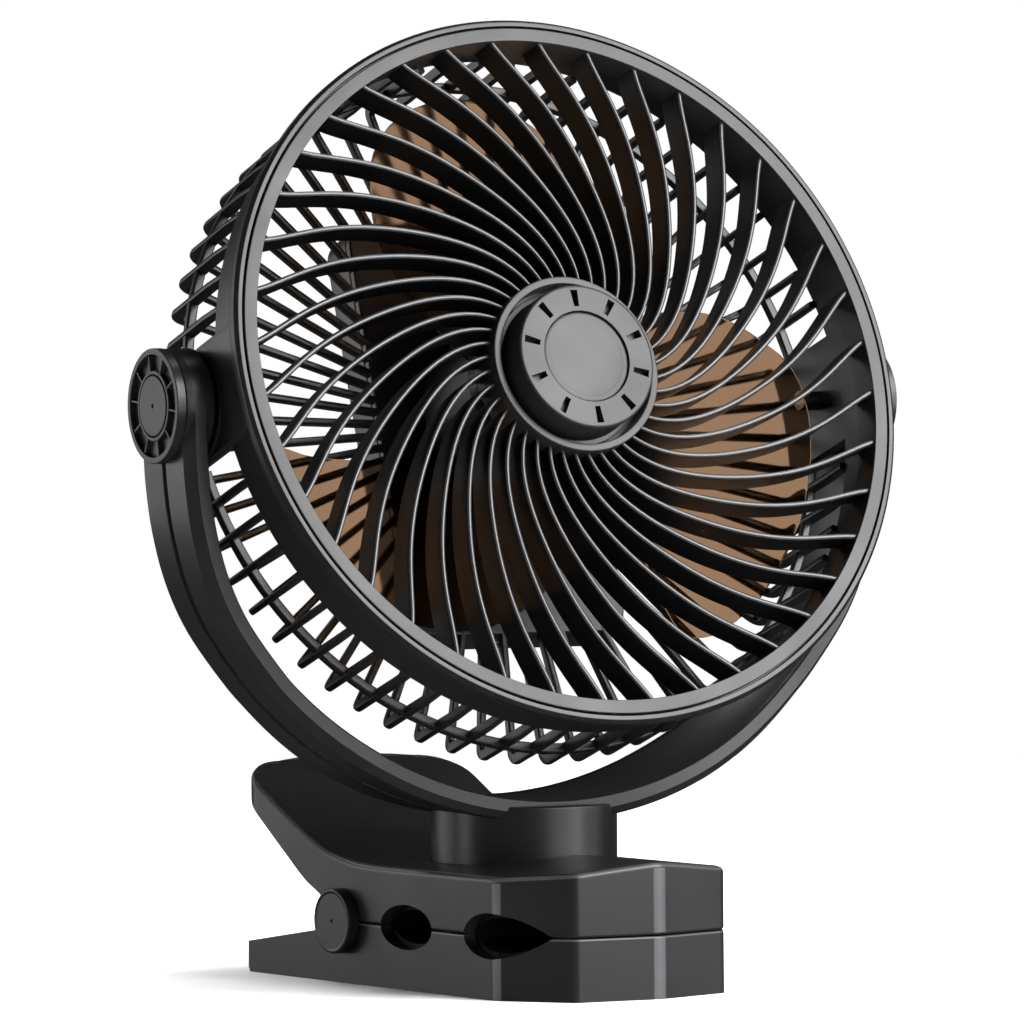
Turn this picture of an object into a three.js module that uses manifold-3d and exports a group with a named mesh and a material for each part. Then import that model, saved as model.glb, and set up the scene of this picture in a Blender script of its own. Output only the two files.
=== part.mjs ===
// Clip fan: sprung clamp, swivelling yoke, tilting head with a swirl grille, three smoked blades.
// Millimetres, +Z up. The clamp nose points along -Y; the origin lies on the flat underside of the
// lower jaw, straight below the swivel axis of the yoke.
import * as THREE from 'three';
import { mergeVertices } from 'three/addons/utils/BufferGeometryUtils.js';
import Module from 'manifold-3d';

const wasm = await Module();
wasm.setup();

// ---------------------------------------------------------------- driving dimensions
const GAP = 0.3;                 // clearance between touching pieces

// clamp
const HALF_W = 41.2;             // half width of both jaws
const NOSE = [[0, -70.4], [26.9, -65.2], [41.2, -44.1]];   // faceted nose, centre to side
const PART_Z = 18.85;            // parting plane of the jaws
const PIVOT_Y = 38.1, PIVOT_Z = 18.9;                      // clamp hinge axis, along X
const ROOF_Z = 40.7, ROOF_SLOPE = 0.11;                    // crowned top of the upper jaw
const TAIL_Y = 92.4;             // rear end of the lower handle
const PADDLE_Y = 101;            // rear end of the upper handle
const PAD_IN = 4.0;              // grip pads stop this far inside the jaw sides
const HOLE1 = { y: 3.0, a: 13.85, b: 6.75 };               // oval clamping hole
const HOLE2 = { y: -41.6, a: 13.7, b: 6.8, tip: -59.4 };   // pointed clamping hole

// yoke
const YAW = -5.59;               // the head stands turned this far about Z
const TURRET_R = 28.2, SEAM_Z = 37.2;
const AXIS_Z = 175.6;            // height of the tilt axis
const ARM_OUT = 120.3, ARM_IN = 111.3;                     // eye of the arm, from the centre
const YOKE_R = 125.6, YOKE_T = 6.6;
const EYE_R = 17.0;

// head, measured from the tilt axis: radius from the fan axis, depth d forward
const TILT = 18.66;              // head stands tilted up this far
const RING_R = 111.0, FACE_D = 34.46, FACE_R = 108.2, OPEN_R = 103.8;
const BARREL_R = 107.6, BARREL_BACK = 13;
const RIBS = 40, RIB_T = 1.7, RIB_DEPTH = 10, RIB_BASE = -68.3;
const SEG = 48;                  // facets round the large rings
const RIM_R = 27.6, RIM_IN = 25.1, RIM_D = 36.7;
const CAP_R = 22.5, CAP_D = 43.35, SLOTS = 10, SLOT_TURN = 2.1;
const GUARD_RIBS = 62, GUARD_R = 107.7, GUARD_BACK = -25.2, GUARD_T = 4.0, GUARD_TURN = -2.45;
const HOUSING_W = 37, HOUSING_H = 66, HOUSING_CORNER = 8, COVER_BACK = -40, SCREW_X = 29, SCREW_Y = 58;
const BLADES = 3, TIP_R = 97, HUB_R = 26;

// ---------------------------------------------------------------- helpers
const rad = THREE.MathUtils.degToRad;
function tidy(geo) {
  let g = new THREE.BufferGeometry();
  g.setAttribute('position', geo.getAttribute('position').clone());
  if (geo.index) g.setIndex(geo.index.clone());
  g = mergeVertices(g, 1e-4);
  const p = g.getAttribute('position'), id = g.index.array, keep = [];
  let vol = 0;
  const a = new THREE.Vector3(), b = new THREE.Vector3(), c = new THREE.Vector3();
  for (let i = 0; i < id.length; i += 3) {
    const [u, v, w] = [id[i], id[i + 1], id[i + 2]];
    if (u === v || v === w || u === w) continue;
    keep.push(u, v, w);
    a.fromBufferAttribute(p, u); b.fromBufferAttribute(p, v); c.fromBufferAttribute(p, w);
    vol += a.dot(b.clone().cross(c));
  }
  if (vol < 0) for (let i = 0; i < keep.length; i += 3) [keep[i + 1], keep[i + 2]] = [keep[i + 2], keep[i + 1]];
  g.setIndex(keep);
  return g;
}
function M(geo) {
  const g = tidy(geo);
  return new wasm.Manifold(new wasm.Mesh({
    numProp: 3,
    vertProperties: new Float32Array(g.getAttribute('position').array),
    triVerts: new Uint32Array(g.index.array),
  }));
}
function G(man) {
  const m = man.getMesh(), n = m.numProp, vp = m.vertProperties;
  const pos = new Float32Array((vp.length / n) * 3);
  for (let i = 0; i < vp.length / n; i++) for (let k = 0; k < 3; k++) pos[i * 3 + k] = vp[i * n + k];
  const g = new THREE.BufferGeometry();
  g.setAttribute('position', new THREE.BufferAttribute(pos, 3));
  g.setIndex(Array.from(m.triVerts));
  return g;
}
const shapeOf = (pts, holes = []) => {
  const s = new THREE.Shape(pts.map((p) => new THREE.Vector2(p[0], p[1])));
  for (const h of holes) s.holes.push(new THREE.Path(h.map((p) => new THREE.Vector2(p[0], p[1]))));
  return s;
};
function prismZ(pts, z0, z1, holes = []) {
  const g = new THREE.ExtrudeGeometry(shapeOf(pts, holes), { depth: z1 - z0, bevelEnabled: false, curveSegments: 1 });
  g.translate(0, 0, z0);
  return g;
}
// profile given as (y, z), extruded along X
function prismX(pts, x0, x1, holes = []) {
  const g = new THREE.ExtrudeGeometry(shapeOf(pts, holes), { depth: x1 - x0, bevelEnabled: false, curveSegments: 1 });
  g.applyMatrix4(new THREE.Matrix4().makeBasis(new THREE.Vector3(0, 1, 0), new THREE.Vector3(0, 0, 1), new THREE.Vector3(1, 0, 0)));
  g.translate(x0, 0, 0);
  return g;
}
// revolve a profile of (r, z) about Z
function lathe(prof, seg = 48) {
  const pts = prof.map((p) => new THREE.Vector2(p[0], p[1]));
  if (prof[0][0] > 1e-9 || prof[prof.length - 1][0] > 1e-9) pts.push(pts[0].clone());
  const g = new THREE.LatheGeometry(pts, seg);
  g.rotateX(Math.PI / 2);
  return g;
}
// plain round bar between two stations along Z
const disc = (r, z0, z1, seg = 32) => lathe([[0, z0], [r, z0], [r, z1], [0, z1]], seg);
const toX = (g) => g.rotateY(Math.PI / 2);            // axis Z becomes axis X
const box = (x0, x1, y0, y1, z0, z1) => {
  const g = new THREE.BoxGeometry(x1 - x0, y1 - y0, z1 - z0);
  g.translate((x0 + x1) / 2, (y0 + y1) / 2, (z0 + z1) / 2);
  return g;
};
const roundRect = (w, h, r) => {
  const o = [];
  for (const [cx, cy, a0] of [[w - r, h - r, 0], [r - w, h - r, 90], [r - w, r - h, 180], [w - r, r - h, 270]]) {
    for (let i = 0; i <= 4; i++) { const t = rad(a0 + 22.5 * i); o.push([cx + r * Math.cos(t), cy + r * Math.sin(t)]); }
  }
  return o;
};
// slab with chamfered edges at both faces
const softSlab = (pts, z0, z1, b) => {
  const g = new THREE.ExtrudeGeometry(new THREE.Shape(pts.map(([x, y]) => new THREE.Vector2(x, y))),
    { depth: z1 - z0 - 2 * b, bevelEnabled: true, bevelThickness: b, bevelSize: b, bevelOffset: -b, bevelSegments: 2, curveSegments: 4 });
  g.translate(0, 0, z0 + b);
  return g;
};
const oval = (cy, cz, a, b, n, grow = 0) => {
  const o = [];
  for (let i = 0; i < n; i++) { const t = (2 * Math.PI * i) / n; o.push([cy + (a + grow) * Math.cos(t), cz + (b + grow) * Math.sin(t)]); }
  return o;
};
// a hole rounded at the back and pointed at the front
const eye = (grow = 0) => {
  const o = [], { y, a, b, tip } = HOLE2;
  for (let i = -4; i <= 4; i++) { const t = (Math.PI / 2) * (i / 4); o.push([y + (a + grow) * Math.cos(t), PART_Z + (b + grow) * Math.sin(t)]); }
  const L = y - tip + grow;
  for (let i = 1; i < 4; i++) { const s = i / 4; o.push([y - L * s, PART_Z + (b + grow) * (1 - s ** 1.9)]); }
  o.push([y - L, PART_Z]);
  for (let i = 3; i > 0; i--) { const s = i / 4; o.push([y - L * s, PART_Z - (b + grow) * (1 - s ** 1.9)]); }
  return o;
};
// closed sweep: stations hold an origin and two axes, the section is a list of (u, v)
function sweep(stations, section) {
  const n = section[0].length ? section.length : 0, pos = [], idx = [];
  for (const st of stations) {
    const sec = st.section || section;
    for (const [u, v] of sec) pos.push(
      st.o[0] + st.u[0] * u + st.v[0] * v, st.o[1] + st.u[1] * u + st.v[1] * v, st.o[2] + st.u[2] * u + st.v[2] * v);
  }
  for (let s = 0; s < stations.length - 1; s++) for (let i = 0; i < n; i++) {
    const a = s * n + i, b = s * n + ((i + 1) % n), c = a + n, d = b + n;
    idx.push(a, b, d, a, d, c);
  }
  let cap = THREE.ShapeUtils.triangulateShape(section.map((p) => new THREE.Vector2(p[0], p[1])), []);
  const turn = (a, b, c) => (b[0] - a[0]) * (c[1] - a[1]) - (b[1] - a[1]) * (c[0] - a[0]);
  let area = 0;
  section.forEach((p, i) => { const q = section[(i + 1) % n]; area += p[0] * q[1] - q[0] * p[1]; });
  cap = cap.map((t) => (turn(...t.map((i) => section[i])) * area < 0 ? [t[0], t[2], t[1]] : t));
  const last = (stations.length - 1) * n;
  for (const [a, b, c] of cap) { idx.push(a, c, b); idx.push(last + a, last + b, last + c); }
  const g = new THREE.BufferGeometry();
  g.setAttribute('position', new THREE.Float32BufferAttribute(pos, 3));
  g.setIndex(idx);
  return g;
}
const lerp = (table, x) => {
  if (x <= table[0][0]) return table[0][1];
  for (let i = 1; i < table.length; i++) if (x <= table[i][0]) {
    const [x0, y0] = table[i - 1], [x1, y1] = table[i];
    return y0 + ((y1 - y0) * (x - x0)) / (x1 - x0);
  }
  return table[table.length - 1][1];
};

// frames
const headFrame = new THREE.Matrix4().makeTranslation(0, 0, AXIS_Z)
  .multiply(new THREE.Matrix4().makeRotationZ(rad(YAW)))
  .multiply(new THREE.Matrix4().makeRotationX(Math.PI / 2 - rad(TILT)));
const yokeFrame = new THREE.Matrix4().makeTranslation(0, 0, AXIS_Z)
  .multiply(new THREE.Matrix4().makeRotationZ(rad(YAW)));
const one = new THREE.Matrix4();

const group = new THREE.Group();
group.name = 'clip_fan';
function add(name, shape, frame, mat) {
  const geo = shape.isBufferGeometry ? tidy(shape) : G(shape);
  geo.applyMatrix4(frame);
  const flat = geo.toNonIndexed();
  flat.computeVertexNormals();
  const mesh = new THREE.Mesh(flat, new THREE.MeshStandardMaterial(mat));
  mesh.name = name;
  group.add(mesh);
}
const BLACK = { color: 0x2b2b2e, roughness: 0.55, metalness: 0 };
const BLACK2 = { color: 0x242427, roughness: 0.6, metalness: 0 };
const FACE = { color: 0x3a3a3e, roughness: 0.5, metalness: 0 };
const RUBBER = { color: 0x141415, roughness: 0.9, metalness: 0 };
const STEEL = { color: 0xa9abad, roughness: 0.3, metalness: 1 };
const ZINC = { color: 0x8f9295, roughness: 0.35, metalness: 1 };
const SMOKE = { color: 0x6b5446, roughness: 0.12, metalness: 0, transparent: true, opacity: 0.55 };

// ================================================================ clamp
const planNose = (inset = 0) => {
  const k = 1 - inset / HALF_W, p = NOSE.map(([x, y]) => [x * k, y + inset * 1.05]);
  return [p[0], p[1], p[2]];
};
const plan = (rear, chamfer, inset = 0) => {
  const [a, b, c] = planNose(inset), w = HALF_W - inset;
  const side = Array.isArray(chamfer) ? chamfer : [[w, rear - chamfer], [w - chamfer, rear]];
  const right = [b, c, ...side];
  return [a, ...right, ...right.slice().reverse().map(([x, y]) => [-x, y])];
};
const paddleCorner = [];
for (let i = 0; i <= 5; i++) {
  const t = (Math.PI / 2) * (i / 5);
  paddleCorner.push([HALF_W - 16 + 16 * Math.cos(t), PADDLE_Y - 2.0 - 13 + 13 * Math.sin(t)]);
}
paddleCorner.push([10, PADDLE_Y]);

const holeThrough = () => M(prismX(oval(HOLE1.y, PART_Z, HOLE1.a, HOLE1.b, 16), -60, 60)).add(M(prismX(eye(), -60, 60)));
const padPlan = (extra = 0) => {
  const [a, b, c] = planNose(PAD_IN - extra), w = HALF_W - PAD_IN + extra;
  const right = [b, c, [w, 22 + extra]];
  return [a, ...right, ...right.slice().reverse().map(([x, y]) => [-x, y])];
};
const lug = (x0, x1, zEnd) => {
  // rounded end round the pin, straight shank to zEnd
  const o = [], s = Math.sign(zEnd - PIVOT_Z), r = 7.2;
  for (let i = 0; i <= 6; i++) { const t = Math.PI * (i / 6); o.push([PIVOT_Y + r * Math.cos(t), PIVOT_Z - s * r * Math.sin(t)]); }
  o.push([PIVOT_Y - r, zEnd], [PIVOT_Y + r, zEnd]);
  return M(prismX(o, x0, x1));
};
const pinBore = (r) => M(toX(disc(r, -50, 50, 12)).translate(0, PIVOT_Y, PIVOT_Z));

// lower jaw with its handle
{
  const side = [[-75, 0], [90.6, 0], [90.6, 1], [TAIL_Y, 1], [TAIL_Y, 9.4], [53.5, 15.1], [39.2, PART_Z - 0.15], [-75, PART_Z - 0.15]];
  let s = M(prismX(side, -HALF_W, HALF_W)).intersect(M(prismZ(plan(TAIL_Y, 2.5), -1, 40)));
  s = s.subtract(holeThrough());
  s = s.subtract(M(prismZ(padPlan(), 16.0, 40)).intersect(M(box(-60, 60, -66, 22, 10, 60))));
  s = s.subtract(M(prismX(oval(HOLE1.y, PART_Z, HOLE1.a, HOLE1.b, 16, 1.6), -(HALF_W - PAD_IN), HALF_W - PAD_IN)));
  s = s.subtract(M(prismX(eye(1.6), -(HALF_W - PAD_IN), HALF_W - PAD_IN)).intersect(M(prismZ(padPlan(), 0, 60))));
  s = s.subtract(M(box(-29, 29, 27, 52, 5, 60)));
  for (const k of [-1, 1]) s = s.add(lug(k > 0 ? 30 : -34.5, k > 0 ? 34.5 : -30, 12));
  s = s.subtract(pinBore(3.3));
  add('lower_jaw', s, one, BLACK);
}
// upper jaw with the paddle handle and the seat of the turret
{
  const top = [[-80, 36.2], [20, 36.2], [32, 37.0], [40.3, 38.2], [47, 39.7], [53.7, 42.0], [62, 45.8], [72, 50.8], [86, 58.1], [110, 70]];
  const low = [[-80, PART_Z + 0.15], [39.0, PART_Z + 0.15], [50, 26.6], [59, 29.8], [91.3, 53.2], [110, 67]];
  const ys = [-75, 20, 26, 32, 39, 44.5, 50, 54, 59, 66, 74, 86, 91.3, 104];
  const us = [-1, -0.55, 0, 0.55, 1];
  const stations = ys.map((y) => {
    const t = THREE.MathUtils.smoothstep(y, 20, 64), P = lerp(top, y), B = lerp(low, y);
    const sec = us.map((u) => { const x = u * (HALF_W + 2); return [x, P + (ROOF_Z - ROOF_SLOPE * Math.abs(x) - 36.2) * (1 - t)]; });
    sec.reverse();
    sec.push([-(HALF_W + 2), B], [HALF_W + 2, B]);
    return { o: [0, y, 0], u: [1, 0, 0], v: [0, 0, 1], section: sec };
  });
  let s = M(sweep(stations, stations[0].section)).intersect(M(prismZ(plan(PADDLE_Y, paddleCorner), 0, 90)));
  s = s.subtract(holeThrough());
  s = s.subtract(M(prismZ(padPlan(), 10, 21.7)).intersect(M(box(-60, 60, -66, 22, 0, 60))));
  s = s.subtract(M(prismX(oval(HOLE1.y, PART_Z, HOLE1.a, HOLE1.b, 16, 1.6), -(HALF_W - PAD_IN), HALF_W - PAD_IN)));
  s = s.subtract(M(prismX(eye(1.6), -(HALF_W - PAD_IN), HALF_W - PAD_IN)).intersect(M(prismZ(padPlan(), 0, 60))));
  s = s.subtract(M(box(-35.2, 35.2, 26.5, 50, 0, 30)));
  for (const k of [-1, 1]) s = s.add(lug(k > 0 ? 24.5 : -28.6, k > 0 ? 28.6 : -24.5, 32));
  s = s.subtract(pinBore(3.3));
  s = s.subtract(M(disc(TURRET_R + GAP, SEAM_Z - 0.15, 60, 36)));       // round seat of the turret
  s = s.subtract(M(disc(3.3, 31, 60, 12)));
  add('upper_jaw', s, one, BLACK);
}
// rubber grip pads with the small clamping recesses
const padBody = (lowHalf) => {
  const w = HALF_W - PAD_IN - GAP;
  let slab = M(prismZ(padPlan(-GAP), lowHalf ? 16.3 : PART_Z + 0.15, lowHalf ? PART_Z - 0.15 : 21.4)).intersect(M(box(-60, 60, -64, 21.7, 0, 60)));
  slab = slab.add(M(prismX(oval(HOLE1.y, PART_Z, HOLE1.a, HOLE1.b, 16, 1.3), -w, w)));
  slab = slab.add(M(prismX(eye(1.3), -w, w)).intersect(M(prismZ(padPlan(-GAP), 0, 60))));
  slab = slab.subtract(M(prismX(oval(HOLE1.y, PART_Z, HOLE1.a, HOLE1.b, 16, -1.6), -60, 60)));
  slab = slab.subtract(M(prismX(eye(-1.6), -60, 60)));
  return slab.intersect(M(lowHalf ? box(-60, 60, -90, 60, 0, PART_Z - 0.15) : box(-60, 60, -90, 60, PART_Z + 0.15, 60)));
};
add('lower_pad', padBody(true), one, RUBBER);
add('upper_pad', padBody(false), one, RUBBER);
add('clamp_pin', toX(disc(3.0, -41.2, 41.2, 12)).translate(0, PIVOT_Y, PIVOT_Z), one, STEEL);
for (const [n, k] of [['clamp_cap_left', -1], ['clamp_cap_right', 1]]) {
  const g = lathe([[0, 0], [9.9, 0], [9.9, 3.2], [9.4, 3.7], [0, 3.7]], 28);
  if (k < 0) g.rotateY(Math.PI);
  add(n, toX(g).translate(k * 41.5, PIVOT_Y, PIVOT_Z), one, BLACK);
}
// torsion spring: three turns round the pin, one leg on each handle
{
  const R = 5.4, wire = 1.0, n = 26, pts = [];
  for (let i = 0; i <= n; i++) {
    const t = rad(262.2 - (1241.4 * i) / n);
    pts.push([-12 + (24 * i) / n, PIVOT_Y + R * Math.cos(t), PIVOT_Z + R * Math.sin(t)]);
  }
  const first = pts[0], end = pts[pts.length - 1];
  pts.unshift([first[0], PIVOT_Y + 10.5, 12.2]);
  pts.push([end[0], PIVOT_Y + 10.5, 26.2]);
  const sec = [];
  for (let i = 0; i < 4; i++) sec.push([wire * Math.cos((2 * Math.PI * i) / 4), wire * Math.sin((2 * Math.PI * i) / 4)]);
  const st = pts.map((p, i) => {
    const a = pts[Math.max(0, i - 1)], b = pts[Math.min(pts.length - 1, i + 1)];
    const d = new THREE.Vector3(b[0] - a[0], b[1] - a[1], b[2] - a[2]).normalize();
    const u = new THREE.Vector3(1, 0, 0).addScaledVector(d, -d.x).normalize(), v = d.clone().cross(u);
    return { o: p, u: u.toArray(), v: v.toArray() };
  });
  add('clamp_spring', sweep(st, sec), one, STEEL);
}

// ================================================================ yoke
{
  const P = [[-120.3, 17.5], [-120.3, 0], [-120.2, -12], [-119.5, -24], [-117.4, -38], [-113.2, -52.9], [-106.2, -67.2], [-95.3, -81.8]];
  const half = P.slice(1).map((p) => p);
  for (let a = 229; a < 265; a += 8.5) half.push([YOKE_R * Math.cos(rad(a)), YOKE_R * Math.sin(rad(a))]);
  const path = [...half, [0, -YOKE_R], ...half.slice().reverse().map(([x, z]) => [-x, z])];
  const st = path.map((p, i) => {
    const a = path[Math.max(0, i - 1)], b = path[Math.min(path.length - 1, i + 1)];
    const d = new THREE.Vector2(b[0] - a[0], b[1] - a[1]).normalize();
    const nrm = [-d.y, d.x];                       // points inwards
    const low = THREE.MathUtils.smoothstep(-p[1], 85, 124), w = 17 + 5 * low, t = YOKE_T;
    const sec = [[1.2, -w], [0, -w + 2.6], [0, -1.2], [1.3, -1.2], [1.3, 1.2], [0, 1.2], [0, w - 2.6], [1.2, w], [t, w], [t, -w]];
    return { o: [p[0], 0, p[1]], u: [nrm[0], 0, nrm[1]], v: [0, 1, 0], section: sec };
  });
  let s = M(sweep(st, st[0].section));
  for (const k of [-1, 1]) s = s.add(M(toX(disc(EYE_R, ARM_IN, ARM_OUT, 24)).scale(k, 1, 1)));
  // turret
  s = s.add(M(disc(TURRET_R, SEAM_Z + 0.15 - AXIS_Z, 55.2 - AXIS_Z, 36)));
  s = s.subtract(M(disc(3.4, -150, -100, 12)));
  s = s.subtract(M(disc(9, 49.5 - AXIS_Z, 70 - AXIS_Z, 16)));
  for (const k of [-1, 1]) {
    s = s.subtract(M(toX(disc(3.4, 100, 130, 12)).scale(k, 1, 1)));
    s = s.subtract(M(toX(disc(6.6, 117.3, 130, 14)).scale(k, 1, 1)));
  }
  add('yoke', s, yokeFrame, BLACK);
}
{
  const dz = -AXIS_Z;
  add('swivel_bolt', lathe([[0, 31.4 + dz], [3.0, 31.4 + dz], [3.0, 51.2 + dz], [6.5, 51.2 + dz], [6.5, 54.2 + dz], [0, 54.2 + dz]], 12), yokeFrame, ZINC);
  add('swivel_washer', lathe([[3.4, 49.8 + dz], [8.2, 49.8 + dz], [8.2, 50.9 + dz], [3.4, 50.9 + dz]], 16), yokeFrame, ZINC);
}
for (const [side, k] of [['left', -1], ['right', 1]]) {
  // spoked cap on the outside of the arm
  let cap = M(lathe([[0, 120.6], [17, 120.6], [17, 123.5], [15.1, 123.5], [15.1, 121.8], [10.4, 121.8], [10.4, 123.2], [9.3, 123.2], [9.3, 122.0], [0, 122.0]], 20));
  for (let i = 0; i < 10; i++) {
    const b = box(10.0, 15.6, -0.35, 0.35, 121.2, 122.9);
    b.rotateZ(rad(36 * i + 84));
    cap = cap.add(M(b));
  }
  const mir = (g) => (k < 0 ? g.rotateZ(Math.PI) : g);
  add(`arm_cap_${side}`, mir(toX(G(cap))), yokeFrame, BLACK);
  add(`arm_disc_${side}`, mir(toX(lathe([[0, 122.3], [9.0, 122.3], [9.0, 123.2], [8.7, 123.5], [0, 123.5]], 24))), yokeFrame, BLACK);
  add(`tilt_bolt_${side}`, mir(toX(lathe([[0, 98], [3.0, 98], [3.0, 117.6], [6.2, 117.6], [6.2, 120.2], [0, 120.2]], 12))), yokeFrame, ZINC);
  add(`tilt_washer_${side}`, mir(toX(lathe([[3.4, 109.7], [12, 109.7], [12, 111.0], [3.4, 111.0]], 16))), yokeFrame, RUBBER);
}

// ================================================================ head
// front grille: face ring, forty swept ribs, hub rim with the plate that carries the cap
const ribTurn = [[25, 48.2], [32.4, 43.6], [38.9, 38.6], [45.4, 32.6], [51.8, 27.2], [58.3, 22.9], [64.8, 18.4], [71.3, 14.9], [77.8, 11.4], [84.2, 7.9], [90.7, 4.6], [97.2, 1.9], [102.1, 0], [106, -1.2]];
{
  const ROUT = 104.0, RIN = 27.0, steps = [27.0, 40, 57, 79, ROUT];
  const holes = [];
  for (let i = 0; i < RIBS; i++) {
    const base = rad(RIB_BASE + 9 * i), up = [], dn = [];
    for (const r of steps) {
      const t = rad(-lerp(ribTurn, r)), e = RIB_T * (r < 40 ? 0.8 : 1) * 0.5 * 1.2 / r;
      const a = base + t + e, b = base + rad(9) + t - e;
      up.push([r * Math.cos(a), r * Math.sin(a)]);
      dn.push([r * Math.cos(b), r * Math.sin(b)]);
    }
    const mid = base + rad(4.5) + rad(-lerp(ribTurn, ROUT)), midIn = base + rad(4.5) + rad(-lerp(ribTurn, RIN));
    holes.push([...up, [ROUT * Math.cos(mid), ROUT * Math.sin(mid)], ...dn.reverse(), [RIN * Math.cos(midIn), RIN * Math.sin(midIn)]]);
  }
  const rim = [];
  for (let i = 0; i < SEG; i++) { const t = (2 * Math.PI * i) / SEG; rim.push([104.9 * Math.cos(t), 104.9 * Math.sin(t)]); }
  let s = M(prismZ(rim, 33.4 - RIB_DEPTH, 33.4, holes));
  s = s.add(M(lathe([[OPEN_R, 31.1], [FACE_R, 31.1], [FACE_R, FACE_D], [OPEN_R, FACE_D]], SEG).rotateZ(Math.PI / 2)));
  s = s.add(M(lathe([[RIM_IN, 27.6], [RIM_R, 27.6], [RIM_R, RIM_D], [RIM_IN, RIM_D]], 30)));
  s = s.subtract(M(disc(RIM_IN, 29.5, 60, 30))).subtract(M(disc(24, 10, 27.8, 24)));
  add('front_grille', s, headFrame, FACE);
}
// hub cap with ten slots and its centre disc
{
  let s = M(lathe([[0, 29.8], [CAP_R + 1.6, 29.8], [CAP_R + 1.6, 31.5], [CAP_R, 31.5], [CAP_R, CAP_D], [14.35, CAP_D], [14.35, CAP_D - 2.0], [0, CAP_D - 2.0]], 30));
  for (let i = 0; i < SLOTS; i++) {
    const g = prismZ([[15.7, -0.65], [20.9, -1.0], [20.9, 1.0], [15.7, 0.65]], CAP_D - 3, CAP_D + 2);
    g.rotateZ(rad(18 + 36 * i + SLOT_TURN));
    s = s.subtract(M(g));
  }
  add('hub_cap', s, headFrame, FACE);
  add('hub_disc', lathe([[0, CAP_D - 1.7], [14.05, CAP_D - 1.7], [14.05, CAP_D - 0.7], [0, CAP_D - 0.7]], 30), headFrame, FACE);
}
// barrel: outer band, side wall and the two gussets that carry the tilt bolts
{
  let s = M(lathe([[105.3, BARREL_BACK], [BARREL_R, BARREL_BACK], [BARREL_R, 28.6], [RING_R, 30.6], [RING_R, 33.2], [109.6, 34.2], [108.5, 34.2], [108.5, 30.8], [105.3, 30.8]], SEG));
  for (const k of [-1, 1]) {
    let g = M(box(k > 0 ? 95 : -109.4, k > 0 ? 109.4 : -95, -17.3, 17.3, -23, 28.9));
    g = g.subtract(M(disc(105.3, -60, 60, SEG)));
    g = g.add(M(toX(disc(8, 101, 109.4, 16)).scale(k, 1, 1)));
    g = g.subtract(M(toX(disc(3.3, 90, 120, 12)).scale(k, 1, 1)));
    s = s.add(g);
  }
  add('barrel', s, headFrame, BLACK2);
}
// rear guard: radial ribs bent over the rear corner, one side hoop, a plate for the motor
{
  const N = GUARD_RIBS, step = (2 * Math.PI) / N, pos = [], idx = [];
  const T = GUARD_T, Rm = GUARD_R;
  // rows along the section: outer radius/depth and inner radius/depth, and whether the row span is a full hoop
  const rows = [
    { o: [Rm - 0.6, 12.6], i: [Rm - 0.6 - T, 12.6] },
    { o: [Rm, -8.6], i: [Rm - T, -8.6] },
    { o: [Rm, -11.6], i: [Rm - T, -11.6] },
    { o: [Rm - 0.9, GUARD_BACK + 0.9], i: [Rm - T, -22.2] },
    { o: [0, GUARD_BACK], i: [0, -22.4] },    // the bars end in the motor plate
  ];
  const hoop = [false, true, false, false];   // a gusset at each side takes the place of the side ribs there
  const barEnd = (a) => Math.min((HOUSING_W - 2) / Math.max(1e-6, Math.abs(Math.cos(a))), (HOUSING_H - 2) / Math.max(1e-6, Math.abs(Math.sin(a))), 69);
  const halfT = 1.15;
  const cols = 2 * N;                       // column edges: rib start, rib end, rib start ...
  const ang = (c, r) => { const k = Math.floor(c / 2), e = halfT / Math.max(r, 52); return step * k + rad(GUARD_TURN) + (c % 2 ? e : -e); };
  const vid = (row, c, inner) => ((row * cols + (c % cols)) * 2 + (inner ? 1 : 0));
  rows.forEach((R) => {
    for (let c = 0; c < cols; c++) for (const q of [R.o, R.i]) {
      const r = q[0] || barEnd(step * Math.floor(c / 2) + rad(GUARD_TURN)), a = ang(c, r);
      pos.push(r * Math.cos(a), r * Math.sin(a), q[1]);
    }
  });
  const quad = (a, b, c, d) => idx.push(a, b, c, a, c, d);
  const on = (row, c) => row >= 0 && row < hoop.length && (hoop[row] || c % 2 === 0);
  for (let row = 0; row < hoop.length; row++) for (let c = 0; c < cols; c++) {
    if (!on(row, c)) continue;
    const n = (c + 1) % cols;
    quad(vid(row, c, 0), vid(row, n, 0), vid(row + 1, n, 0), vid(row + 1, c, 0));
    quad(vid(row, c, 1), vid(row + 1, c, 1), vid(row + 1, n, 1), vid(row, n, 1));
    if (!on(row, (c + cols - 1) % cols)) quad(vid(row, c, 0), vid(row + 1, c, 0), vid(row + 1, c, 1), vid(row, c, 1));
    if (!on(row, n)) quad(vid(row, n, 0), vid(row, n, 1), vid(row + 1, n, 1), vid(row + 1, n, 0));
    if (!on(row - 1, c)) quad(vid(row, c, 0), vid(row, c, 1), vid(row, n, 1), vid(row, n, 0));
    if (!on(row + 1, c)) quad(vid(row + 1, c, 0), vid(row + 1, n, 0), vid(row + 1, n, 1), vid(row + 1, c, 1));
  }
  const g = new THREE.BufferGeometry();
  g.setAttribute('position', new THREE.Float32BufferAttribute(pos, 3));
  g.setIndex(idx);
  let s = M(g).add(M(prismZ(roundRect(HOUSING_W, HOUSING_H, HOUSING_CORNER), GUARD_BACK, -22.4, [oval(0, 0, 10, 10, 20)])));
  for (const k of [-1, 1]) s = s.subtract(M(box(k > 0 ? 90 : -130, k > 0 ? 130 : -90, -17.6, 17.6, -21.5, 40)));
  for (const k of [-1, 1]) s = s.subtract(M(box(k > 0 ? 103.4 : -130, k > 0 ? 130 : -103.4, -17.6, 17.6, -23.3, 40)));
  add('rear_guard', s, headFrame, BLACK2);
}
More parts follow.
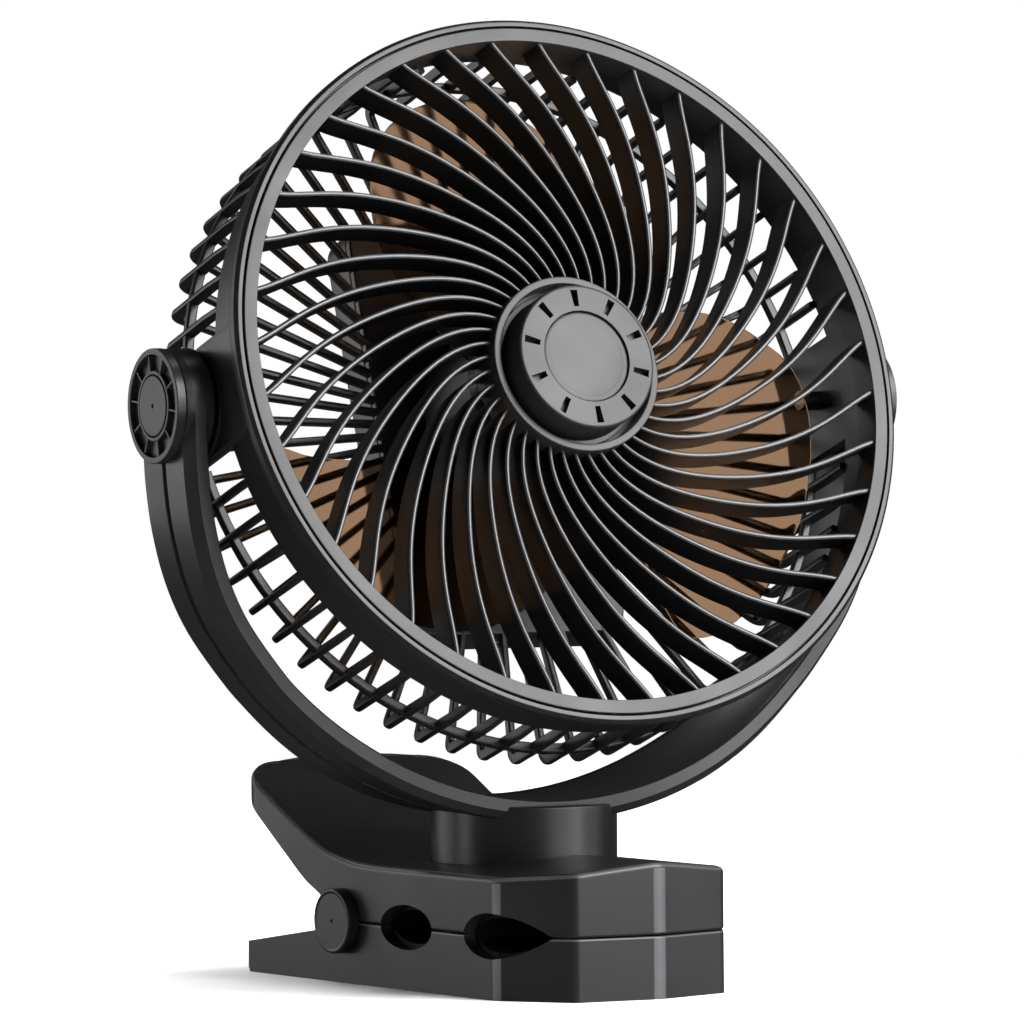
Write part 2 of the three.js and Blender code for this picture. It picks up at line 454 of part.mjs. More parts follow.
// rear cover over the motor and the switch
{
  let s = M(softSlab(roundRect(HOUSING_W, HOUSING_H, HOUSING_CORNER), COVER_BACK, -15, 2.4)).intersect(M(box(-60, 60, -90, 90, COVER_BACK - 1, GUARD_BACK - GAP)));
  s = s.subtract(M(softSlab(roundRect(HOUSING_W - 2, HOUSING_H - 2, HOUSING_CORNER - 2), COVER_BACK + 2, -10, 1.6)));
  for (const [i, j] of [[1, 1], [-1, 1], [-1, -1], [1, -1]]) {
    const x = SCREW_X * i, y = SCREW_Y * j;
    s = s.add(M(disc(4.4, COVER_BACK + 1, GUARD_BACK - GAP, 8).translate(x, y, 0)));
    s = s.subtract(M(disc(1.8, -60, 0, 8).translate(x, y, 0)));
    s = s.subtract(M(disc(3.4, -60, COVER_BACK + 2.4, 8).translate(x, y, 0)));
  }
  s = s.subtract(M(disc(3.2, -60, 0, 12)));                         // switch shaft
  s = s.subtract(M(box(-5.2, 5.2, -76, -60, -34.4, -28.6)));         // socket opening
  add('rear_cover', s, headFrame, BLACK2);
  [[1, 1], [-1, 1], [-1, -1], [1, -1]].forEach(([i, j], n) => {
    add(`cover_screw_${n + 1}`, lathe([[0, -39.4], [3.0, -39.4], [3.0, -37.9], [1.5, -37.9], [1.5, -25.8], [0, -25.8]], 8).translate(SCREW_X * i, SCREW_Y * j, 0), headFrame, ZINC);
  });
}
add('control_board', prismZ([[-19, -56.5], [19, -56.5], [19, 19], [-19, 19]], -31.4, -29.8, [oval(0, 0, 4, 4, 8)]), headFrame, { color: 0x1e5a38, roughness: 0.6, metalness: 0 });
{
  let s = M(box(-4.8, 4.8, -65.4, -57, -34.0, -29.0));
  s = s.subtract(M(box(-3.8, 3.8, -76, -59, -33.0, -30.0)));
  add('dc_socket', s, headFrame, ZINC);
}
add('speed_switch', lathe([[0, -37.6], [8.5, -37.6], [8.5, -31.7], [0, -31.7]], 14), headFrame, { color: 0x3c3c40, roughness: 0.5, metalness: 0 });
{
  // knob with a flat grip across it, on the switch shaft
  let s = M(lathe([[0, -48], [9.0, -48], [9.6, -47.2], [10, -40.3], [0, -40.3]], 20));
  s = s.add(M(disc(2.9, -41, -37.9, 16)));
  s = s.subtract(M(box(-20, -2.2, -20, 20, -60, -44.6)));
  s = s.subtract(M(box(2.2, 20, -20, 20, -60, -44.6)));
  add('speed_knob', s, headFrame, BLACK);
}
// motor
{
  let s = M(lathe([[3.1, -22.1], [21.5, -22.1], [21.5, 10.5], [19.5, 12.5], [8, 12.5], [8, 14.5], [3.1, 14.5]], 20));
  add('motor_can', s, headFrame, STEEL);
}
add('motor_shaft', disc(2.5, -21.5, 24.5, 10), headFrame, STEEL);
// rotor
{
  let s = M(lathe([[2.8, 15.2], [6.5, 15.2], [6.5, 17.2], [22.8, 17.2], [23.4, 14], [23.4, -14], [HUB_R, -14], [HUB_R, 16], [24.4, 19.6], [2.8, 19.6]], 20));
  // angular limits of a blade by radius, forward edge and rear edge, and the same edges without the rounded tip
  const lead = [[25, 43], [32, 38], [38, 33], [48.5, 27.8], [57, 23.5], [66, 18.8], [72, 14.6], [79, 9], [84, 5.2], [88, 0.8], [92, -6.5], [95, -16], [97, -26]];
  const trail = [[25, -36], [46.8, -43.2], [56, -46.5], [63, -48.6], [70, -50.6], [75, -53], [81.5, -54.3], [88, -54.5], [93, -51], [96, -45], [97, -38]];
  const lead0 = [[25, 43], [38, 33], [57, 23.5], [72, 14.6], [84, 5.2], [97, -5]], trail0 = [[25, -36], [46.8, -43.2], [63, -48.6], [75, -53], [97, -58]];
  const radii = [25, 36, 48, 60, 72, 84, 92, 97], NS = radii.length - 1, NC = 5, th = 0.9;
  for (let b = 0; b < BLADES; b++) {
    const pos = [], idx = [];
    for (const side of [1, -1]) for (let i = 0; i <= NS; i++) for (let j = 0; j <= NC; j++) {
      const r0 = radii[i], a = lerp(lead, r0) + (lerp(trail, r0) - lerp(lead, r0)) * (j / NC);
      const v = (lerp(lead0, r0) - a) / (lerp(lead0, r0) - lerp(trail0, r0)), t = rad(a + (360 / BLADES) * b);
      const depth = lerp([[25, 27], [60, 32], [97, 32]], r0) * (0.5 - v) + 2.6 - 1.5 * Math.sin(Math.PI * v) + side * th;
      pos.push(r0 * Math.cos(t), r0 * Math.sin(t), depth);
    }
    const W = NC + 1, off = (NS + 1) * W, id = (s, i, j) => s * off + i * W + j;
    for (let i = 0; i < NS; i++) for (let j = 0; j < NC; j++) {
      idx.push(id(0, i, j), id(0, i, j + 1), id(0, i + 1, j + 1), id(0, i, j), id(0, i + 1, j + 1), id(0, i + 1, j));
      idx.push(id(1, i, j), id(1, i + 1, j + 1), id(1, i, j + 1), id(1, i, j), id(1, i + 1, j), id(1, i + 1, j + 1));
    }
    const edge = [];
    for (let j = 0; j < NC; j++) edge.push([0, j]);
    for (let i = 0; i < NS; i++) edge.push([i, NC]);
    for (let j = NC; j > 0; j--) edge.push([NS, j]);
    for (let i = NS; i > 0; i--) edge.push([i, 0]);
    for (let e = 0; e < edge.length; e++) {
      const [i, j] = edge[e], [k, l] = edge[(e + 1) % edge.length];
      idx.push(id(0, i, j), id(1, i, j), id(1, k, l), id(0, i, j), id(1, k, l), id(0, k, l));
    }
    const g = new THREE.BufferGeometry();
    g.setAttribute('position', new THREE.Float32BufferAttribute(pos, 3));
    g.setIndex(idx);
    s = s.add(M(g));
  }
  add('fan_rotor', s, headFrame, SMOKE);
}
add('shaft_nut', (() => {
  const o = [];
  for (let i = 0; i < 6; i++) o.push([5.2 * Math.cos((Math.PI * i) / 3), 5.2 * Math.sin((Math.PI * i) / 3)]);
  return prismZ(o, 19.9, 24.2, [oval(0, 0, 2.8, 2.8, 14)]);
})(), headFrame, STEEL);

export default group;
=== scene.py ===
import math
import bpy
import bmesh
import numpy as np
from mathutils import Matrix, Vector


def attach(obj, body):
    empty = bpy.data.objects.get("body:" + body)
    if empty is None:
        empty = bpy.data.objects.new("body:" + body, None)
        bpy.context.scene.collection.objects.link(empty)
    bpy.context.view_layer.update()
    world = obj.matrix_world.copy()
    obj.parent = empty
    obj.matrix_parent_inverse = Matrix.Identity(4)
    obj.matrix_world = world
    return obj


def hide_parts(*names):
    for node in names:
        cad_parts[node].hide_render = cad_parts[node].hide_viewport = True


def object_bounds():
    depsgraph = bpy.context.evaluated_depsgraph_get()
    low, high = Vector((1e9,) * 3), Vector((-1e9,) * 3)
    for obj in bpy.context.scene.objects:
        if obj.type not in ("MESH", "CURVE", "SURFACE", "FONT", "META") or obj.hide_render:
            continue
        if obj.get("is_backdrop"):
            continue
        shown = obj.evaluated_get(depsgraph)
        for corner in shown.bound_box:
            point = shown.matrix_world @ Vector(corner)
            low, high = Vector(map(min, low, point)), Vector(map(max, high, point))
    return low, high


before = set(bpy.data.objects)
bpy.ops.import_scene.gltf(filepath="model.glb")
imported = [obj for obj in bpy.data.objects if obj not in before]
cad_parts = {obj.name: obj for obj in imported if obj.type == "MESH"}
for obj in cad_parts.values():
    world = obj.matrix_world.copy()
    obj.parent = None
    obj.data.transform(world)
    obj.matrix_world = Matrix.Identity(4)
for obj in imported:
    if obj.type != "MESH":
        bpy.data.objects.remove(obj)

CAD_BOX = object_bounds()
MM = 0.001
rad = math.radians
COL = bpy.context.scene.collection

# ---------------------------------------------------------------- the CAD's own frames, in millimetres
YAW, TILT, AXIS_Z = -5.59, 18.66, 175.6
YOKE = Matrix.Translation((0, 0, AXIS_Z)) @ Matrix.Rotation(rad(YAW), 4, "Z")
HEAD = YOKE @ Matrix.Rotation(rad(90 - TILT), 4, "X")
ONE = Matrix.Identity(4)

# ---------------------------------------------------------------- camera, as fitted to the photograph
A, E, ROLL = rad(28.852), rad(0.935), rad(-0.458)
FOCAL, U, V, D = 6767.0, 2.615, 32.89, 2045.034
fwd = Vector((math.sin(A) * math.cos(E), math.cos(A) * math.cos(E), -math.sin(E)))
right = Vector((math.cos(A), -math.sin(A), 0))
up = right.cross(fwd)
cr, sr = math.cos(ROLL), math.sin(ROLL)
r1, r2 = right * cr + up * sr, up * cr - right * sr
place = -(r1 * U + r2 * V + fwd * D)
m = Matrix((
    (r1.x, r2.x, -fwd.x, place.x),
    (r1.y, r2.y, -fwd.y, place.y),
    (r1.z, r2.z, -fwd.z, place.z),
    (0, 0, 0, 1)))
m = Matrix.Rotation(rad(YAW), 4, "Z") @ m
m.translation = (m.translation + Vector((0, 0, AXIS_Z))) * MM
cam_data = bpy.data.cameras.new("camera")
cam_data.sensor_width = 36
cam_data.lens = FOCAL * 36 / 1024
cam_data.clip_end = 60
cam = bpy.data.objects.new("camera", cam_data)
cam.matrix_world = m
COL.objects.link(cam)
bpy.context.scene.camera = cam
bpy.context.scene.view_settings.view_transform = "Standard"

# ---------------------------------------------------------------- materials
def node(nt, kind, **kw):
    n = nt.nodes.new(kind)
    for k, v in kw.items():
        setattr(n, k, v)
    return n


def setin(n, **kw):
    for k, v in kw.items():
        n.inputs[k.replace("_", " ")].default_value = v
    return n


def moulded(name, color, rough, grain=2600, grain_depth=0.012, wave=0.0, wear=0.35, metal=0.0, coat=0.0, spec=0.5, spread=0.12):
    """Moulded or metal surface: fine grain in the bump, slow change of gloss and tone, lighter worn edges."""
    mat = bpy.data.materials.new(name)
    mat.use_nodes = True
    nt = mat.node_tree
    b = nt.nodes["Principled BSDF"]
    setin(b, Metallic=metal)
    b.inputs["Specular IOR Level"].default_value = spec
    b.inputs["Coat Weight"].default_value = coat
    tc = node(nt, "ShaderNodeTexCoord")
    fine = setin(node(nt, "ShaderNodeTexNoise"), Scale=grain, Detail=3.0, Roughness=0.6)
    slow = setin(node(nt, "ShaderNodeTexNoise"), Scale=38.0, Detail=4.0, Roughness=0.55)
    nt.links.new(tc.outputs["Object"], fine.inputs["Vector"])
    nt.links.new(tc.outputs["Object"], slow.inputs["Vector"])
    # tone
    ramp = node(nt, "ShaderNodeMapRange")
    setin(ramp, From_Min=0.3, From_Max=0.7, To_Min=1.0 - spread, To_Max=1.0 + spread)
    nt.links.new(slow.outputs["Fac"], ramp.inputs["Value"])
    geo = node(nt, "ShaderNodeNewGeometry")
    edge = node(nt, "ShaderNodeMapRange")
    setin(edge, From_Min=0.52, From_Max=0.62, To_Min=0.0, To_Max=wear)
    nt.links.new(geo.outputs["Pointiness"], edge.inputs["Value"])
    gain = node(nt, "ShaderNodeMath", operation="ADD")
    nt.links.new(ramp.outputs["Result"], gain.inputs[0])
    nt.links.new(edge.outputs["Result"], gain.inputs[1])
    scale = node(nt, "ShaderNodeVectorMath", operation="SCALE")
    scale.inputs[0].default_value = color[:3]
    nt.links.new(gain.outputs[0], scale.inputs["Scale"])
    nt.links.new(scale.outputs[0], b.inputs["Base Color"])
    # gloss
    gloss = node(nt, "ShaderNodeMapRange")
    setin(gloss, From_Min=0.3, From_Max=0.7, To_Min=rough * 0.88, To_Max=rough * 1.14)
    nt.links.new(slow.outputs["Fac"], gloss.inputs["Value"])
    nt.links.new(gloss.outputs["Result"], b.inputs["Roughness"])
    # grain
    bump = node(nt, "ShaderNodeBump")
    setin(bump, Strength=0.5, Distance=grain_depth * MM)
    nt.links.new(fine.outputs["Fac"], bump.inputs["Height"])
    nt.links.new(bump.outputs["Normal"], b.inputs["Normal"])
    return mat


BLACK = moulded("black_abs", (0.0105, 0.0105, 0.0120), 0.34)
SHELL = moulded("black_shell", (0.0085, 0.0085, 0.0095), 0.32)
FACE = moulded("face_abs", (0.014, 0.014, 0.0155), 0.36)
# rib walls: a darker, less glossy copy of the black plastic, painted shade in the deep gaps between the ribs
RIB_PAINTED_SHADE = moulded("rib_wall_painted_shade", (0.004, 0.004, 0.0045), 0.40, spec=0.22)
# rib front faces: a lighter, glossier copy of the same plastic, a painted highlight on the rib fronts
RIB_PAINTED_HIGHLIGHT = moulded("rib_front_painted_highlight", (0.030, 0.030, 0.032), 0.30, spec=0.9)
# a lighter, glossier copy of the black plastic laid on the jaws' rounded edges: a painted highlight line
JAW_PAINTED_HIGHLIGHT = moulded("jaw_edge_painted_highlight", (0.060, 0.060, 0.064), 0.32, spec=0.6)
PAD = moulded("pad_rubber", (0.004, 0.004, 0.004), 0.6, grain=1500, grain_depth=0.05, wear=0.1, spec=0.3)
STEEL = moulded("ground_steel", (0.56, 0.56, 0.57), 0.28, grain=5000, grain_depth=0.01, metal=1.0, wear=0.1, spread=0.06)
ZINC = moulded("zinc_plate", (0.62, 0.63, 0.66), 0.24, grain=900, grain_depth=0.01, metal=1.0, wear=0.1, spread=0.10)
MOTOR = moulded("motor_steel", (0.10, 0.10, 0.105), 0.42, grain=3000, grain_depth=0.02, metal=1.0, wear=0.1)
BOARD = moulded("board_green", (0.012, 0.085, 0.040), 0.45, grain=1200, grain_depth=0.02, wear=0.2, spread=0.25)
SWITCH = moulded("switch_black", (0.02, 0.02, 0.022), 0.5)


def smoked():
    mat = bpy.data.materials.new("smoked_clear")
    mat.use_nodes = True
    nt = mat.node_tree
    b = nt.nodes["Principled BSDF"]
    b.inputs["Transmission Weight"].default_value = 1.0
    b.inputs["IOR"].default_value = 1.12
    tc = node(nt, "ShaderNodeTexCoord")
    slow = setin(node(nt, "ShaderNodeTexNoise"), Scale=22.0, Detail=3.0, Roughness=0.5)
    nt.links.new(tc.outputs["Object"], slow.inputs["Vector"])
    mix = node(nt, "ShaderNodeMix", data_type="RGBA")
    mix.inputs[6].default_value = (0.29, 0.172, 0.100, 1)
    mix.inputs[7].default_value = (0.34, 0.207, 0.123, 1)
    nt.links.new(slow.outputs["Fac"], mix.inputs[0])
    nt.links.new(mix.outputs[2], b.inputs["Base Color"])
    gl = setin(node(nt, "ShaderNodeMapRange"), From_Min=0.3, From_Max=0.7, To_Min=0.10, To_Max=0.18)
    nt.links.new(slow.outputs["Fac"], gl.inputs["Value"])
    nt.links.new(gl.outputs["Result"], b.inputs["Roughness"])
    fine = setin(node(nt, "ShaderNodeTexNoise"), Scale=160.0, Detail=2.0)
    nt.links.new(tc.outputs["Object"], fine.inputs["Vector"])
    bump = setin(node(nt, "ShaderNodeBump"), Strength=0.15, Distance=0.00004)
    nt.links.new(fine.outputs["Fac"], bump.inputs["Height"])
    nt.links.new(bump.outputs["Normal"], b.inputs["Normal"])
    return mat


SMOKED = smoked()

# ---------------------------------------------------------------- mesh code
def fillet(pts, r=0.3, n=3, closed=True):
    """Rounds the corners of a polygon. A point may carry its own radius as a third number."""
    out, N = [], len(pts)
    for i, p in enumerate(pts):
        ri = p[2] if len(p) > 2 else r
        if not closed and i in (0, N - 1) or ri <= 0:
            out.append((p[0], p[1]))
            continue
        a, b = np.array(pts[i - 1][:2], float), np.array(pts[(i + 1) % N][:2], float)
        c = np.array(p[:2], float)
        da, db = a - c, b - c
        la, lb = np.linalg.norm(da), np.linalg.norm(db)
        if la < 1e-9 or lb < 1e-9:
            continue
        da, db = da / la, db / lb
        cosv = float(np.clip(da @ db, -1, 1))
        if cosv < -0.999:
            out.append(tuple(c))
            continue
        half = math.acos(cosv) / 2
        t = min(ri / math.tan(half), la * 0.48, lb * 0.48)
        p0, p2 = c + da * t, c + db * t
        for k in range(n + 1):
            s = k / n
            q = (1 - s) ** 2 * p0 + 2 * s * (1 - s) * c + s * s * p2
            out.append((float(q[0]), float(q[1])))
    return out


def lathe(prof, seg=96, phase=0.0, arc=None):
    """Revolves (r, z) points about Z. A profile off the axis is closed on itself."""
    verts, rows = [], []
    n = seg if arc is None else seg + 1
    for r, z in prof:
        if r < 1e-6:
            rows.append([len(verts)])
            verts.append((0, 0, z))
        else:
            row = []
            for k in range(n):
                t = phase + (2 * math.pi * k / seg if arc is None else arc[0] + (arc[1] - arc[0]) * k / seg)
                row.append(len(verts))
                verts.append((r * math.cos(t), r * math.sin(t), z))
            rows.append(row)
    faces = []
    closed = prof[0][0] > 1e-6 and prof[-1][0] > 1e-6
    order = list(range(len(rows))) + ([0] if closed else [])
    for i, j in zip(order, order[1:]):
        a, b = rows[i], rows[j]
        m_ = seg
        for k in range(m_):
            l = (k + 1) % n if arc is None else k + 1
            if len(a) == 1 and len(b) == 1:
                continue
            if len(a) == 1:
                faces.append((a[0], b[k], b[l]))
            elif len(b) == 1:
                faces.append((a[k], b[0], a[l]))
            else:
                faces.append((a[k], b[k], b[l], a[l]))
    if arc is not None and closed:
        faces.append(tuple(r_[0] for r_ in rows))
        faces.append(tuple(r_[-1] for r_ in reversed(rows)))
    return verts, faces


def loft(loops, ends=True):
    n, verts, faces = len(loops[0]), [], []
    for lp in loops:
        verts += [tuple(p) for p in lp]
    for s in range(len(loops) - 1):
        for i in range(n):
            j = (i + 1) % n
            faces.append((s * n + i, s * n + j, (s + 1) * n + j, (s + 1) * n + i))
    if ends:
        faces.append(tuple(range(n - 1, -1, -1)))
        faces.append(tuple((len(loops) - 1) * n + i for i in range(n)))
    return verts, faces


def prism(pts, z0, z1):
    return loft([[(x, y, z0) for x, y in pts], [(x, y, z1) for x, y in pts]])


def along_x(pts, x0, x1):
    """A (y, z) profile drawn out along X."""
    return loft([[(x0, y, z) for y, z in pts], [(x1, y, z) for y, z in pts]])


def join(*parts):
    verts, faces = [], []
    for v, f in parts:
        o = len(verts)
        verts += [tuple(p) for p in v]
        faces += [tuple(i + o for i in q) for q in f]
    return verts, faces


def moved(part, mat):
    return [tuple(mat @ Vector(p)) for p in part[0]], part[1]


TO_X = Matrix.Rotation(math.pi / 2, 4, "Y")


def raw(name, part, mat=ONE):
    """A closed mesh object, in millimetres, faces turned outwards."""
    me = bpy.data.meshes.new(name)
    me.from_pydata([tuple(mat @ Vector(p)) for p in part[0]], [], part[1])
    bm = bmesh.new()
    bm.from_mesh(me)
    bmesh.ops.remove_doubles(bm, verts=bm.verts, dist=1e-4)
    bmesh.ops.recalc_face_normals(bm, faces=bm.faces)
    bm.to_mesh(me)
    bm.free()
    o = bpy.data.objects.new(name, me)
    COL.objects.link(o)
    return o


def apply_mods(o):
    dg = bpy.context.evaluated_depsgraph_get()
    me = bpy.data.meshes.new_from_object(o.evaluated_get(dg))
    old = o.data
    o.modifiers.clear()
    o.data = me
    bpy.data.meshes.remove(old)


def boolean(o, cutter, op="DIFFERENCE", drop=True):
    md = o.modifiers.new("b", "BOOLEAN")
    md.operation, md.solver, md.object = op, "EXACT", cutter
    apply_mods(o)
    if drop:
        bpy.data.objects.remove(cutter)
    return o


def bevel(o, width, seg=2, angle=30):
    md = o.modifiers.new("v", "BEVEL")
    md.width, md.segments, md.limit_method, md.angle_limit = width, seg, "ANGLE", rad(angle)
    md.miter_outer = "MITER_ARC"
    md.use_clamp_overlap = True
    apply_mods(o)
    return o


def done(o, body, mat, replaces=(), sharp=32):
    """Turns millimetres into metres, sets normals, and puts the piece on its body."""
    o.data.transform(Matrix.Scale(MM, 4))
    me = o.data
    for p in me.polygons:
        p.use_smooth = True
    me.set_sharp_from_angle(angle=rad(sharp))
    me.materials.clear()
    me.materials.append(mat)
    w = o.modifiers.new("n", "WEIGHTED_NORMAL")
    w.keep_sharp = True
    apply_mods(o)
    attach(o, body)
    if replaces:
        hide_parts(*replaces)
    return o


def piece(name, part, frame_m, body, mat, replaces=(), sharp=32):
    return done(raw(name, part, frame_m), body, mat, replaces, sharp)


def second_material(o, mat, pick):
    """Gives the faces that pick(centre, normal) chooses, in world millimetres, a second material."""
    me = o.data
    me.materials.append(mat)
    k = len(me.materials) - 1
    mw = o.matrix_world
    rot = mw.to_3x3()
    for f in me.polygons:
        c = (mw @ f.center) / MM
        n = (rot @ f.normal).normalized()
        if pick(c, n):
            f.material_index = k


# ---------------------------------------------------------------- head: face ring, ribs, hub
RIB_BASE, RIBS = -68.3, 40
turn_tab = np.array([[25, 48.2], [32.4, 43.6], [38.9, 38.6], [45.4, 32.6], [51.8, 27.2], [58.3, 22.9], [64.8, 18.4],
                     [71.3, 14.9], [77.8, 11.4], [84.2, 7.9], [90.7, 4.6], [97.2, 1.9], [102.1, 0], [106, -1.2]])
turn_fit = np.polyfit(turn_tab[:, 0] / 100, turn_tab[:, 1], 5)


def rib_turn(r):
    return float(np.polyval(turn_fit, r / 100))


ring = lathe(fillet([(103.8, 24.2, 0.2), (103.8, 34.46, 0.45), (108.05, 34.46, 0.45), (108.05, 31.3, 0.2), (105.0, 31.3, 0.2), (105.0, 24.2, 0.2)]), 240)
piece("face_ring", ring, HEAD, "head", FACE, ["front_grille"])

ribs = []
radii = np.concatenate([np.linspace(26.6, 34, 6), np.linspace(37, 98, 24), [100.5, 102.6, 104.4]])
for i in range(RIBS):
    loops = []
    for r in radii:
        t = rad(RIB_BASE + 9 * i - rib_turn(r))
        dt = rad(-(rib_turn(r + 0.5) - rib_turn(r - 0.5)))
        c, s = math.cos(t), math.sin(t)
        p = Vector((r * c, r * s, 0))
        tan = (Vector((c, s, 0)) + Vector((-s, c, 0)) * r * dt).normalized()
        side = Vector((-tan.y, tan.x, 0))
        near = min(1.0, (r - 26) / 16)
        w = 0.62 + 0.22 * near                      # half width of the front edge
        top, low = 33.4, 23.4
        if r < 34:
            low = 23.4 + 0.0
        sec = [(-w, low), (-w * 0.55, low - 0.0), (w * 0.55, low - 0.0), (w, low), (w, top - 0.95), (w * 0.88, top - 0.42), (w * 0.5, top - 0.1), (0, top),
               (-w * 0.5, top - 0.1), (-w * 0.88, top - 0.42), (-w, top - 0.95)]
        loops.append([p + side * u + Vector((0, 0, z)) for u, z in sec])
    ribs.append(loft(loops))
rib_o = piece("swirl_ribs", join(*ribs), HEAD, "head", RIB_PAINTED_SHADE, sharp=50)
HZ = (HEAD.to_3x3() @ Vector((0, 0, 1))).normalized()
# faces turned toward the front take the lighter copy: painted highlight on the rib fronts, while the walls keep the
# painted shade
second_material(rib_o, RIB_PAINTED_HIGHLIGHT, lambda c, n: n.dot(HZ) > 0.25)

rim = lathe(fillet([(25.1, 27.8, 0.2), (25.1, 36.7, 0.7), (27.6, 36.7, 0.7), (27.6, 23.6, 0.3), (24.2, 23.6, 0.3), (24.2, 27.8, 0.2)]), 128)
floor_plate = lathe(fillet([(3.6, 27.9, 0.1), (25.3, 27.9, 0.1), (25.3, 29.4, 0.1), (3.6, 29.4, 0.1)]), 96)
piece("hub_rim", join(rim, floor_plate), HEAD, "head", FACE)

# cap with its ten slots
def slotted_cap():
    SL, half_in, half_out = 10, 0.85, 1.2
    rs = [14.35, 15.7, 17.4, 19.2, 20.9, 21.6]
    z = 43.35
    verts, faces = [], []
    cols = []
    for k in range(SL):
        mid = rad(18 + 36 * k + 2.1)
        cols.append((mid, -1))
        cols.append((mid, 1))
        for f in np.linspace(0, 1, 9)[1:-1]:
            cols.append((mid, f))
    ang = []
    order = []
    for k in range(SL):
        mid = rad(18 + 36 * k + 2.1)
        order += [("e", mid, -1), ("e", mid, 1)] + [("f", mid, f) for f in np.linspace(0, 1, 9)[1:-1]]
    def angle(col, r):
        kind, mid, f = col
        w = (half_in + (half_out - half_in) * min(1, max(0, (r - 15.7) / 5.2))) / r
        if kind == "e":
            return mid + f * w
        return mid + w + (rad(36) - 2 * w) * f
    n = len(order)
    idx = {}
    def vid(ri, c, level):
        key = (ri, c % n, level)
        if key not in idx:
            r = rs[ri]
            a = angle(order[c % n], r)
            idx[key] = len(verts)
            verts.append((r * math.cos(a), r * math.sin(a), z - level))
        return idx[key]
    DEP = 2.6
    for ri in range(len(rs) - 1):
        for c in range(n):
            slot_cell = order[c][0] == "e" and order[c][2] == -1 and 1 <= ri <= 3
            if not slot_cell:
                faces.append((vid(ri, c, 0), vid(ri, c + 1, 0), vid(ri + 1, c + 1, 0), vid(ri + 1, c, 0)))
            else:
                faces.append((vid(ri, c, DEP), vid(ri, c + 1, DEP), vid(ri + 1, c + 1, DEP), vid(ri + 1, c, DEP)))
                faces.append((vid(ri, c, 0), vid(ri + 1, c, 0), vid(ri + 1, c, DEP), vid(ri, c, DEP)))
                faces.append((vid(ri, c + 1, 0), vid(ri + 1, c + 1, 0), vid(ri + 1, c + 1, DEP), vid(ri, c + 1, DEP)))
                if ri == 1:
                    faces.append((vid(1, c, 0), vid(1, c + 1, 0), vid(1, c + 1, DEP), vid(1, c, DEP)))
                if ri == 3:
                    faces.append((vid(4, c, 0), vid(4, c + 1, 0), vid(4, c + 1, DEP), vid(4, c, DEP)))
    outer = [vid(len(rs) - 1, c, 0) for c in range(n)]
    inner = [vid(0, c, 0) for c in range(n)]
    def ring_of(prev, r, zz, last_angle_r):
        row = []
        for c in range(n):
            a = angle(order[c], last_angle_r)
            row.append(len(verts))
            verts.append((r * math.cos(a), r * math.sin(a), zz))
        for c in range(n):
            faces.append((prev[c], prev[(c + 1) % n], row[(c + 1) % n], row[c]))
        return row
    prev = outer
    for r, zz in [(22.0, 43.28), (22.3, 43.05), (22.46, 42.75), (22.5, 42.3), (22.5, 32.2), (22.7, 31.7), (24.0, 31.5), (24.1, 31.3), (24.1, 29.9)]:
        prev = ring_of(prev, r, zz, 21.6)
    faces.append(tuple(prev))
    prev = inner
    for r, zz in [(14.3, 43.3), (14.25, 43.1), (14.25, 41.4)]:
        prev = ring_of(prev, r, zz, 14.35)
    faces.append(tuple(reversed(prev)))
    return verts, faces


piece("hub_cap_fine", slotted_cap(), HEAD, "head", FACE, ["hub_cap"], sharp=40)
dome = [(0, 41.6), (14.0, 41.6), (14.05, 42.2), (13.9, 42.62), (13.2, 42.8), (12.4, 42.72)]
for r in (11.5, 9, 6, 3):
    dome.append((r, 42.62 - 0.10 * (1 - (r / 12.4) ** 2)))
dome.append((0, 42.52))
piece("hub_disc_fine", lathe(dome, 96), HEAD, "head", FACE, ["hub_disc"], sharp=50)

# barrel with its outer band and side ears
band = lathe(fillet([(105.3, 13, 0.25), (107.6, 13, 0.5), (107.6, 28.4, 0.8), (111.0, 30.4, 1.1), (111.0, 33.2, 0.8), (110.0, 34.3, 0.5), (108.6, 34.3, 0.3), (108.6, 30.95, 0.1), (105.3, 30.95, 0.1)]), 240)
ears = []
for k in (-1, 1):
    half = math.asin(17.3 / 109.4)
    mid = 0 if k > 0 else math.pi
    rows = []
    prof = fillet([(105.5, -22.6, 0.4), (109.4, -22.6, 1.6), (109.4, 28.9, 0.2), (105.5, 28.9, 0.2)], n=5)
    nst = 40
    for s in range(nst + 1):
        f = s / nst
        a = mid - half + 2 * half * f
        edge = min(f, 1 - f) * 2 * half * 109.4
        sink = 0 if edge > 1.4 else 1.4 - math.sqrt(max(0, 1.4 ** 2 - (1.4 - edge) ** 2))
        rows.append([((r - (sink if r > 107.5 else 0)) * math.cos(a), (r - (sink if r > 107.5 else 0)) * math.sin(a), z) for r, z in prof])
    ears.append(loft(rows))
    # round boss that the arm turns against
    boss = moved(lathe(fillet([(3.4, 108.2, 0.1), (16.4, 108.2, 0.1), (16.4, 109.55, 0.35), (3.4, 109.55, 0.1)]), 96), TO_X)
    if k < 0:
        boss = moved(boss, Matrix.Rotation(math.pi, 4, "Z"))
    ears.append(boss)
piece("barrel_fine", join(band, *ears), HEAD, "head", SHELL, ["barrel"])

# rear guard: sixty-two bars, a side hoop and the motor plate
GR, NG, GT = 107.7, 62, rad(-2.45)
apex = -23.8 - 1.4


